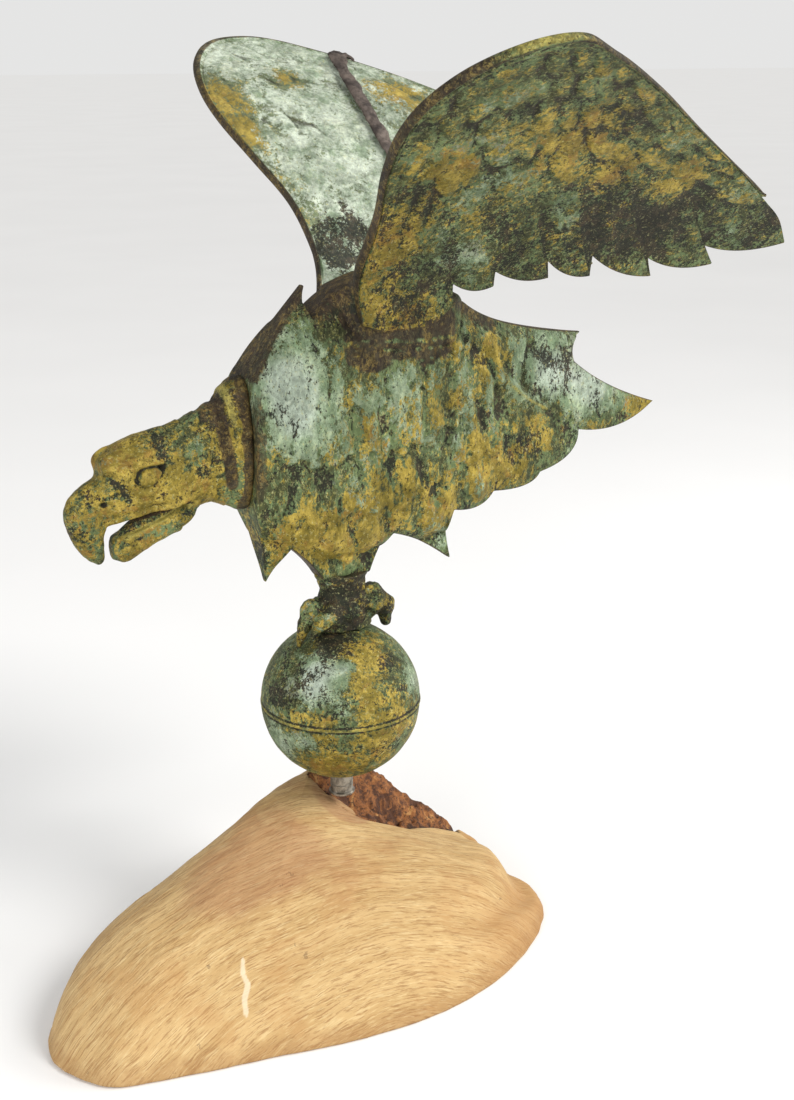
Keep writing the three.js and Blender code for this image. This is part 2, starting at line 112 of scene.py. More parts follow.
def stroke(x: Array, z: Array, knots: Knots, width: float) -> Array:
    """A bell of the distance to a line through knots.

    Formula: exp(-(d / width)^2), d being the distance to the nearest stretch of the line.

    Args:
        x: first coordinates.
        z: second coordinates.
        knots: the line's corners.
        width: where the bell falls to a third.

    Returns:
        Values from 0 to 1.
    """
    nearest = np.full(x.shape, np.inf)
    for (ax, az), (bx, bz) in zip(knots, knots[1:]):
        run_x, run_z = bx - ax, bz - az
        along = np.clip(((x - ax) * run_x + (z - az) * run_z) / (run_x**2 + run_z**2), 0, 1)
        nearest = np.minimum(nearest, np.hypot(x - ax - along * run_x, z - az - along * run_z))
    return np.exp(-((nearest / width) ** 2))


def chance(*whole: Array, seed: int = 0) -> Array:
    """A fixed pseudo-random number from 0 to 1 for each set of whole numbers.

    Formula: the fractional part of |sin(keys . whole + seed step times seed)| times a
    large number.

    Args:
        whole: arrays of whole numbers, all of one shape.
        seed: picks another set of numbers.

    Returns:
        Numbers from 0 to 1.
    """
    total = sum(part * key for part, key in zip(whole, HASH_KEYS)) + HASH_SEED_STEP * seed
    return np.modf(np.abs(np.sin(total)) * HASH_SCALE)[0]


def lumps(points: Array, size: float, seed: int = 0, octaves: int = 2) -> Array:
    """Soft value noise: random numbers on a cubic lattice, blended smoothly, octaves halved.

    Args:
        points: places, shape (..., 3).
        size: lattice spacing of the first octave, in the units of points.
        seed: picks another field.
        octaves: how many layers, each half the size and half the strength of the last.

    Returns:
        A field of about -1 to 1.
    """
    total = np.zeros(points.shape[:-1])
    strength = 1.0
    for octave in range(octaves):
        spot = points / (size / 2**octave)
        base = np.floor(spot)
        blend = spot - base
        blend = blend * blend * (3 - 2 * blend)
        layer = np.zeros(points.shape[:-1])
        for corner in range(8):
            step = np.array([corner & 1, (corner >> 1) & 1, (corner >> 2) & 1])
            share = np.prod(np.where(step, blend, 1 - blend), axis=-1)
            cell = base + step
            layer += share * chance(*np.moveaxis(cell, -1, 0), seed=seed + 7 * octave)
        total += strength * (2 * layer - 1)
        strength /= 2
    return total


def layered(points: Array, layers: Layers) -> Array:
    """Noise in layers of (depth, size, seed): the sum of depth times lumps(points, size, seed)."""
    return sum(depth * lumps(points, size, seed) for depth, size, seed in layers)


def quadratic_path(corners: Knots, ends: tuple[float, ...], place: Array) -> Array:
    """Reads points off a chain of quadratic curves.

    Formula on each curve: (1-s)^2 A + 2s(1-s) B + s^2 C.

    Args:
        corners: the start (x, z), then (bx, bz, cx, cz) for each curve.
        ends: the place at which each curve ends; the first starts at 0.
        place: places to read, from 0 to 1.

    Returns:
        Points, shape (len(place), 2).
    """
    starts = np.array([corners[0]] + [corner[2:] for corner in corners[1:-1]], float)
    bends = np.array([corner[:2] for corner in corners[1:]], float)
    finishes = np.array([corner[2:] for corner in corners[1:]], float)
    edges = np.array([0.0, *ends])
    index = np.clip(np.searchsorted(edges, place, side="right") - 1, 0, len(ends) - 1)
    share = np.clip((place - edges[index]) / (edges[index + 1] - edges[index]), 0, 1)[:, None]
    middle = 2 * share * (1 - share) * bends[index]
    return (1 - share) ** 2 * starts[index] + middle + share**2 * finishes[index]


def smooth_curve(knots: Knots, place: Array, closed: bool = False) -> Array:
    """A centripetal Catmull-Rom curve through the knots, read at place from 0 to 1.

    Formula: a cubic Hermite piece between knots, its tangents from divided differences
    over chord lengths to the power one half.

    Args:
        knots: points to pass through, all of one dimension.
        place: places to read; knots are evenly spaced in it.
        closed: whether the curve runs back to its first knot.

    Returns:
        Points, shape (len(place), dimension).
    """
    spots = np.array(knots, float)
    count = len(spots) if closed else len(spots) - 1
    if closed:
        spots = np.concatenate([spots[-1:], spots, spots[:2]])
    else:
        spots = np.concatenate([2 * spots[:1] - spots[1:2], spots, 2 * spots[-1:] - spots[-2:-1]])
    run = np.clip(np.asarray(place, float), 0, 1) * count
    index = np.minimum(np.floor(run).astype(int), count - 1)
    share = (run - index)[:, None]
    p0, p1, p2, p3 = (spots[index + k] for k in range(4))
    chords = (np.linalg.norm(b - a, axis=1)[:, None] for a, b in ((p0, p1), (p1, p2), (p2, p3)))
    d0, d1, d2 = (np.sqrt(chord) + 1e-9 for chord in chords)
    t1 = ((p1 - p0) / d0 - (p2 - p0) / (d0 + d1) + (p2 - p1) / d1) * d1
    t2 = ((p2 - p1) / d1 - (p3 - p1) / (d1 + d2) + (p3 - p2) / d2) * d1
    s2, s3 = share**2, share**3
    through = (2 * s3 - 3 * s2 + 1) * p1 + (3 * s2 - 2 * s3) * p2
    return through + (s3 - 2 * s2 + share) * t1 + (s3 - s2) * t2


# Mesh helpers


def grid_faces(rows: int, columns: int) -> Array:
    """Four-cornered faces of a grid of points, its last column joined to its first.

    Args:
        rows: number of rows of points, which are numbered row by row.
        columns: number of columns of points.

    Returns:
        Whole numbers, shape (faces, 4).
    """
    row = np.arange(rows - 1)[:, None]
    column = np.arange(columns)[None, :]
    below, beside = row + 1, (column + 1) % columns
    pairs = ((row, column), (row, beside), (below, beside), (below, column))
    return np.stack([down * columns + over for down, over in pairs], axis=-1).reshape(-1, 4)


def welded(points: Array, faces: Array) -> tuple[Array, Array, Array, Array]:
    """Merges points at the same place and drops what closed to a line.

    Args:
        points: corners, shape (count, 3), in metres.
        faces: four-cornered faces, shape (faces, 4).

    Returns:
        The points kept, their old numbers, the four-cornered faces and the triangles.
    """
    keys = np.round(points / WELD).astype(np.int64)
    _, first, inverse = np.unique(keys, axis=0, return_index=True, return_inverse=True)
    faces = inverse.reshape(-1)[faces]
    doubled = faces == np.roll(faces, -1, axis=1)
    corners = 4 - doubled.sum(axis=1)
    three = corners == 3
    triangles = faces[three][~doubled[three]].reshape(-1, 3)
    return points[first], first, faces[corners == 4], triangles


def store(mesh: bpy.types.Mesh, marks: dict[str, Array]) -> None:
    """Keeps named numbers at the mesh's points, for the material."""
    for mark, values in marks.items():
        layer = mesh.attributes.new(mark, "FLOAT", "POINT")
        layer.data.foreach_set("value", np.asarray(values, np.float32))


@dataclass
class Skin:
    """A surface as points, faces and named numbers at its points."""

    points: Array
    faces: Array
    marks: dict[str, Array] = field(default_factory=dict)

    def joined(self, other: "Skin") -> "Skin":
        """This skin and another one as a single one, without marks."""
        faces = np.concatenate([self.faces, other.faces + len(self.points)])
        return Skin(np.concatenate([self.points, other.points]), faces)

    def to_mesh(self, name: str) -> bpy.types.Mesh:
        """Puts the welded surface into a mesh, its faces turned outward.

        Args:
            name: the mesh's name.

        Returns:
            The new mesh.
        """
        points, first, quads, triangles = welded(self.points, self.faces)
        fan = np.concatenate([quads[:, [0, 1, 2]], quads[:, [0, 2, 3]], triangles])
        a, b, c = (points[fan[:, k]] for k in range(3))
        if np.einsum("ij,ij->", a, np.cross(b, c)) < 0:
            quads, triangles = quads[:, ::-1], triangles[:, ::-1]
        mesh = bpy.data.meshes.new(name)
        mesh.vertices.add(len(points))
        mesh.vertices.foreach_set("co", points.astype(np.float32).ravel())
        mesh.loops.add(quads.size + triangles.size)
        order = np.concatenate([quads.ravel(), triangles.ravel()])
        mesh.loops.foreach_set("vertex_index", order.astype(np.int32))
        mesh.polygons.add(len(quads) + len(triangles))
        sizes = np.concatenate([np.full(len(quads), 4), np.full(len(triangles), 3)])
        mesh.polygons.foreach_set("loop_start", (np.cumsum(sizes) - sizes).astype(np.int32))
        mesh.update(calc_edges=True)
        mesh.validate()
        store(mesh, {mark: np.ravel(values)[first] for mark, values in self.marks.items()})
        mesh.shade_smooth()
        return mesh


def piece(
    name: str, mesh: bpy.types.Mesh, finish: bpy.types.Material, slot_name: str, *nodes: str
) -> None:
    """Dresses a finished mesh and adds it to the scene in place of its solids.

    Args:
        name: the piece's name.
        mesh: its mesh, already in place.
        finish: its material.
        slot_name: the material slot of the record; not used.
        nodes: the solids that it stands for.
    """
    mesh.materials.append(finish)
    made = bpy.data.objects.new(name, mesh)
    bpy.context.scene.collection.objects.link(made)
    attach(made, "root")
    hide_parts(*nodes)
    log.info("%s: %d points, %d faces", name, len(mesh.vertices), len(mesh.polygons))


def vectors(mesh: bpy.types.Mesh, what: str) -> Array:
    """The places ("co") or the normals ("normal") of the mesh's points, shape (count, 3)."""
    flat = np.empty(len(mesh.vertices) * 3, np.float32)
    mesh.vertices.foreach_get(what, flat)
    return flat.reshape(-1, 3).astype(float)


def placed(points_mm: Array) -> Array:
    """Millimetres about the ball's centre, made metres above the wood's underside."""
    return points_mm * MM + CENTRE


def local_mm(mesh: bpy.types.Mesh) -> Array:
    """The mesh's points in millimetres about the ball's centre, shape (count, 3)."""
    return (vectors(mesh, "co") - CENTRE) / MM


def moved(mesh: bpy.types.Mesh, points: Array) -> None:
    """Puts the mesh's points at new places, in metres."""
    mesh.vertices.foreach_set("co", points.astype(np.float32).ravel())
    mesh.update()


def fused(skin: Skin, name: str, grain: float, soften: int) -> bpy.types.Mesh:
    """Melts overlapping closed skins into one even skin.

    Args:
        skin: the skins, joined.
        name: the new mesh's name.
        grain: edge length of the new skin, in metres.
        soften: how many times corners are smoothed.

    Returns:
        The new mesh.
    """
    rough_cast = bpy.data.objects.new(name + "_rough", skin.to_mesh(name + "_rough"))
    bpy.context.scene.collection.objects.link(rough_cast)
    remesh = rough_cast.modifiers.new("remesh", "REMESH")
    remesh.mode = "VOXEL"
    remesh.voxel_size = grain
    relax = rough_cast.modifiers.new("relax", "SMOOTH")
    relax.iterations = soften
    relax.factor = 0.5
    depsgraph = bpy.context.evaluated_depsgraph_get()
    mesh = bpy.data.meshes.new_from_object(rough_cast.evaluated_get(depsgraph))
    mesh.name = name
    old = rough_cast.data
    bpy.data.objects.remove(rough_cast)
    bpy.data.meshes.remove(old)
    mesh.shade_smooth()
    return mesh


def embossed(mesh: bpy.types.Mesh, height: Array) -> None:
    """Moves each point out along its normal by a height in metres."""
    moved(mesh, vectors(mesh, "co") + vectors(mesh, "normal") * height[:, None])


def tube(route: Array, across: Array, over: Array, wide: Array, thick: Array, sides: int) -> Skin:
    """A closed tube of oval sections along a route, its ends drawn to a point.

    Formula: P(u, a) = route(u) + wide(u) cos(a) across(u) + thick(u) sin(a) over(u).

    Args:
        route: centres, shape (rings, 3).
        across: directions of the first half axis, shape (rings, 3).
        over: directions of the second half axis, shape (rings, 3).
        wide: length of the first half axis at each ring.
        thick: length of the second half axis at each ring.
        sides: points round a section.

    Returns:
        The closed skin.
    """
    turn = (np.arange(sides) * (2 * math.pi / sides))[None, :, None]
    wide, thick = (np.concatenate([[0], size, [0]])[:, None, None] for size in (wide, thick))
    ended = (np.concatenate([row[:1], row, row[-1:]])[:, None] for row in (route, across, over))
    route, across, over = ended
    points = route + wide * np.cos(turn) * across + thick * np.sin(turn) * over
    return Skin(points.reshape(-1, 3), grid_faces(len(route), sides))


def wrapped(first: Array, front: Array, second: Array, back: Array) -> Array:
    """Closed sections: one face, an edge, the other face run back, and the other edge."""
    return np.concatenate([first, front, second[:, ::-1], back], axis=1)


def along_frames(route: Array, up: tuple[float, float, float]) -> tuple[Array, Array]:
    """Directions across and over a route, from its tangents and an up direction.

    Args:
        route: points, shape (rings, 3).
        up: a direction that is never along the route.

    Returns:
        Unit vectors across the route, and unit vectors over it.
    """
    tangent = np.gradient(route, axis=0)
    tangent /= np.linalg.norm(tangent, axis=1, keepdims=True)
    across = np.cross(tangent, np.array(up, float))
    across /= np.linalg.norm(across, axis=1, keepdims=True)
    return across, np.cross(across, tangent)


# The pieces


@dataclass
class Ball:
    """The ball: two spun cups that meet at a lipped seam."""

    radius: float = BALL_RADIUS
    seam_out: float = 0.4 * MM
    seam_half: float = 0.8 * MM
    groove: float = 0.35 * MM
    groove_half: float = 0.7 * MM
    gap: float = 0.15 * MM
    sides: int = 230
    rings: int = 76
    crowding: float = 1.15
    dent_scale: float = 50.0
    dents: Layers = ((0.22, 16, 3), (0.1, 5, 4))

    def cup(self, side: int) -> Skin:
        """One cup, with shallow dents and a lip at the seam.

        Formula: a profile (r, z) turned about the upright axis, where r and z follow the
        sphere, the lip adds seam_out within seam_half of the seam and a groove follows it.

        Args:
            side: 1 for the upper cup and -1 for the lower one.

        Returns:
            The closed skin.
        """
        rise = np.linspace(0, 1, self.rings) ** self.crowding * math.pi / 2
        rise[0] = self.gap / self.radius
        turn = np.arange(self.sides) * (2 * math.pi / self.sides)
        level = self.radius * np.sin(rise)
        lip = 1 - ease(level, 0.75 * self.seam_half, 1.5 * self.seam_half)
        sunk = hump(level, 2.0 * self.seam_half, self.groove_half)
        wide = np.cos(rise)[:, None]
        up = np.broadcast_to(side * np.sin(rise)[:, None], (self.rings, self.sides))
        directions = np.stack([wide * np.cos(turn), wide * np.sin(turn), up], axis=-1)
        dents = MM * layered(directions * self.dent_scale, self.dents)
        proud = (self.seam_out * lip - self.groove * sunk)[:, None]
        reach = self.radius + proud + dents * ease(level, 0, 3 * MM)[:, None]
        points = directions * reach[..., None]
        points[0, :, 2] = side * self.gap
        points[-1] = [0, 0, side * self.radius]
        middle = np.full((1, self.sides, 3), [0, 0, side * self.gap])
        points = np.concatenate([middle, points]).reshape(-1, 3) + CENTRE
        flat = np.zeros((self.rings + 1, self.sides))
        dented = np.concatenate([dents[:1], dents]) / (1.2 * MM)
        # Painted light at the seam: the pale mark paints a highlight along the lip, and the lowered
        # relief in the groove paints a dark shadow line beside it.
        marks = {
            "relief": 0.5 - 0.6 * (flat + np.append(0, sunk)[:, None]) + dented,
            "pale": 0.42 * (flat + np.append(0, lip)[:, None]),
        }
        return Skin(points, grid_faces(self.rings + 1, self.sides), marks)

    def build(self, finish: bpy.types.Material) -> None:
        """Makes both cups and dresses them.

        Args:
            finish: their material.
        """
        for name, node, side in (("ball_bottom", "ball_lower", -1), ("ball_top", "ball_upper", 1)):
            mesh = self.cup(side).to_mesh(name)
            zone_marks(mesh, "ball")
            piece(name, mesh, finish, "verdigris_copper", node)


@dataclass
class Ferrule:
    """The short turned sleeve under the ball, with a lip at its foot."""

    radius: float = 7.4
    lip: float = 8.4
    sides: int = 96
    sharp: float = math.radians(35)

    def build(self, finish: bpy.types.Material) -> None:
        """Turns a profile (r, z) in millimetres about the upright axis and dresses it.

        Args:
            finish: its material.
        """
        low, high = (corner.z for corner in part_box("ferrule"))
        r, lip, foot, top = self.radius, self.lip, low / MM, high / MM
        profile = np.array(
            [
                (0, foot), (lip - 0.4, foot), (lip, foot + 0.4), (lip, foot + 1.5),
                (lip - 0.4, foot + 1.9), (r, foot + 2.2), (r - 0.1, foot + 4), (r, foot + 6.5),
                (r - 0.45, foot + 6.8), (r - 0.45, foot + 7.4), (r, foot + 7.7), (r, top - 1.2),
                (r - 0.5, top - 0.5), (r - 0.9, top), (0, top),
            ]
        )
        turn = np.arange(self.sides) * (2 * math.pi / self.sides)
        wide, level = profile[:, :1] * MM, profile[:, 1:] * MM
        round_it = np.broadcast_arrays(wide * np.cos(turn), wide * np.sin(turn), level)
        points = np.stack(round_it, axis=-1).reshape(-1, 3)
        mesh = Skin(points, grid_faces(len(profile), self.sides)).to_mesh("ferrule_sleeve")
        mesh.set_sharp_from_angle(angle=self.sharp)
        piece("ferrule_sleeve", mesh, finish, "grey_metal", "ferrule")


@dataclass
class WoodKnot:
    """The rough wooden knot: a smooth combed boss in front, a crumbling break behind it.

    Lengths are in millimetres above the underside, bearings in degrees about the peak.
    """

    sides: int = 560
    rings: int = 150
    crowding: float = 0.92
    samples: int = 200
    lip: float = 5.0
    top: float = 107.0
    peak: tuple[float, float] = (-16.0, 16.0)
    seat: float = 97.6
    bore: float = 8.7
    underside: Knots = ((1.0, 1.6), (0.995, 0.5), (0.985, 0.0), (0.5, 0.0), (0.0, 0.0))
    rim: Knots = (
        (-217, -44), (-198, -84), (-160, -97), (-105, -108), (-50, -119), (5, -121), (55, -109),
        (95, -87), (121, -62), (129, -36), (121, -10), (118, 14), (92, 44), (50, 66), (-10, 74),
        (-75, 62), (-140, 34), (-192, 2),
    )
    scar: Knots = ((-108, -78), (-110.5, -83), (-109.5, -88), (-114, -92), (-115, -96))
    scar_half: float = 1.9
    nick: Knots = ((-88, -99), (-81, -94))
    # Painted shadow of the ball on the wood, below and to the left of the ferrule: its middle and
    # half widths, in millimetres.
    ball_shadow_at: tuple[float, float] = (-82, -36)
    ball_shadow_size: tuple[float, float] = (40, 22)
    break_start: Knots = ((0, -62), (0.18, -48), (0.3, -30), (0.5, -19), (0.75, -9), (1, -2))
    break_end: Knots = ((0, 95), (0.2, 52), (0.5, 30), (0.8, 21), (1, 14))
    flare_at: tuple[float, float, float, float] = (-78, -48, -6, 5)
    waves: Layers = ((1.6, 60, 5), (0.5, 17, 6))
    bends: Layers = ((4.5, 70, 8), (0.8, 12, 9))
    reaches: tuple[float, ...] = (0, 0.2, 0.4, 0.6, 0.8, 0.93, 1)
    slopes: tuple[tuple[float, tuple[float, ...]], ...] = (
        (-180, (1, 0.93, 0.74, 0.58, 0.42, 0.25, 0)),
        (-130, (1, 0.93, 0.8, 0.64, 0.43, 0.22, 0)),
        (-90, (1, 0.86, 0.74, 0.61, 0.43, 0.23, 0)),
        (-50, (1, 0.79, 0.66, 0.56, 0.42, 0.25, 0)),
        (-28, (1, 0.74, 0.6, 0.5, 0.36, 0.1, 0)),
        (-15, (1, 0.73, 0.57, 0.46, 0.34, 0.1, 0)),
        (-3, (1, 0.76, 0.6, 0.5, 0.38, 0.24, 0)),
        (12, (1, 0.98, 0.91, 0.76, 0.47, 0.27, 0)),
        (35, (1, 0.99, 0.94, 0.8, 0.47, 0.22, 0)),
        (90, (1, 0.96, 0.87, 0.72, 0.5, 0.28, 0)),
        (150, (1, 0.94, 0.79, 0.63, 0.46, 0.27, 0)),
        (180, (1, 0.93, 0.74, 0.58, 0.42, 0.25, 0)),
    )

    def share(self, bearing: Array, reach: Array) -> Array:
        """Height as a share of the peak's, smooth in direction and in distance.

        Formula: cubic through the reaches on each slope, blended between slopes.

        Args:
            bearing: direction from the peak, in degrees.
            reach: share of the way to the rim.

        Returns:
            Shares from 0 to 1.
        """
        lines = []
        for _, values in self.slopes:
            knots = tuple(zip(self.reaches, values))
            curve = smooth_curve(knots, np.linspace(0, 1, 3 * self.samples + 1))
            lines.append(np.interp(np.linspace(0, 1, self.samples + 1), curve[:, 0], curve[:, 1]))
        table = np.array(lines)
        bearings = np.array([entry[0] for entry in self.slopes], float)
        spot = np.interp(bearing, bearings, np.arange(len(bearings)))
        low = np.clip(spot.astype(int), 0, len(bearings) - 2)
        part = spot - low
        across = np.clip(reach, 0, 1) * self.samples
        left = np.clip(across.astype(int), 0, self.samples - 1)
        slide = across - left
        near, far = (
            table[row, left] * (1 - slide) + table[row, left + 1] * slide for row in (low, low + 1)
        )
        return near * (1 - part) + far * part

    def height(self, x: Array, y: Array, reach: Array) -> tuple[Array, Array, Array, Array]:
        """Height of the wood in millimetres, and where it is broken, cracked and flared.

        Formula: lip + (top - lip) share + soft waves + combed grain, with rough bark inside
        the break and a sharp crack where the smooth boss ends.

        Args:
            x: along the bird, in millimetres.
            y: across the bird, in millimetres.
            reach: share of the way from the peak to the rim.

        Returns:
            The heights, a mask from 0 on the boss to 1 in the break, a mask of the crack, and
            a mask of the side that flares out in a thin flange.
        """
        bearing = np.degrees(np.arctan2(y - self.peak[1], x - self.peak[0]))
        spots = np.stack([x, y, np.zeros_like(x)], axis=-1)
        wander = 5 * lumps(spots, 22, seed=11) * ease(reach, 0.1, 0.35)
        start, end = stops(self.break_start, reach), stops(self.break_end, reach)
        broken = ease(bearing - wander, start, start + 2.2)
        broken *= 1 - ease(bearing + wander, end, end + 9)
        broken *= ease(np.hypot(x, y), 8, 10) * (1 - ease(reach, 0.93, 0.99))
        crack = hump(bearing - wander, start + 1.5, 2.2) * window(reach, 0.1, 0.2, 0.86, 0.95)
        fibre = spots / np.array([2.6, 1, 1])
        bark = 4.6 * np.abs(lumps(fibre, 10, seed=21, octaves=3)) + 1.6 * lumps(spots, 3.2, seed=22)
        flare = window(bearing, *self.flare_at)
        base = self.lip + (self.top - self.lip) * self.share(bearing, reach)
        base = base - (8.0 * hump(reach, 0.875, 0.055) - 1.5 * hump(reach, 0.975, 0.03)) * flare
        bent = 0.0016 * (x + 50) ** 2 + layered(spots, self.bends)
        layer = y + 0.5 * base + bent
        comb = 0.1 * np.sin(layer * 1.7) + 0.14 * np.sin(layer * 0.8 + 0.05 * x)
        comb += 0.6 * stroke(x, y, self.scar, self.scar_half) - 0.8 * stroke(x, y, self.nick, 2.0)
        smooth = layered(spots, self.waves) + comb
        grown = (1 - broken) * smooth + broken * (bark - 4.5) - 4.0 * crack
        return base + ease(1 - reach, 0, 0.12) * grown, broken, crack, flare

    def build(self, finish: bpy.types.Material) -> None:
        """Makes the knot as a polar grid about its peak and dresses it.

        Formula: P(b, s) = peak + s (rim(b) - peak), its height from height(); the last rows
        turn under the rim and close the flat underside.

        Args:
            finish: its material.
        """
        peak = np.array(self.peak)
        around = np.arange(self.sides) / self.sides
        rim = smooth_curve(self.rim, around, closed=True)
        nibble = lumps(np.stack([rim[:, 0], rim[:, 1], 0 * around], -1), 14, seed=31)
        rim += (peak - rim) * (0.004 * np.abs(nibble))[:, None]
        reach = np.linspace(0, 1, self.rings)[:, None] ** self.crowding
        x, y = (peak[k] + reach * (rim[:, k] - peak[k]) for k in (0, 1))
        reach = np.broadcast_to(reach, x.shape)
        z, broken, crack, flare = self.height(x, y, reach)
        apart = np.hypot(x, y)
        z = np.where(apart < self.bore, np.minimum(z, self.seat), z)
        drop = ease(reach, 0.985, 1)
        z = z * (1 - drop) + drop * (self.lip - 1.2)
        turn_in = []
        for draw, level in self.underside:
            spot = peak + draw * (rim - peak)
            turn_in.append(np.concatenate([spot, np.full((self.sides, 1), level)], axis=1))
        points = np.concatenate([np.stack([x, y, z], axis=-1), np.array(turn_in)])
        # The seat mark is painted shade: darkest round the ferrule, under the ball, and across the
        # ball's painted shadow.
        warm = spot_bell(x, y, self.ball_shadow_at, self.ball_shadow_size)
        upper = {
            "broken": broken,
            "rim": ease(reach, 0.9, 1.0),
            "seat": np.maximum(1 - ease(apart, 9, 22), 0.9 * warm),
            "scar": stroke(x, y, self.scar, self.scar_half),
            "crack": crack,
            "flange": ease(reach, 0.82, 0.9) * flare,
        }
        below = np.zeros((len(turn_in), self.sides))
        marks = {
            mark: np.concatenate([part, below + (mark == "rim")]) for mark, part in upper.items()
        }
        faces = grid_faces(len(points), self.sides)
        mesh = Skin(points.reshape(-1, 3) * MM, faces, marks).to_mesh("wooden_knot")
        piece("wooden_knot", mesh, finish, "raw_wood", "wood_base")


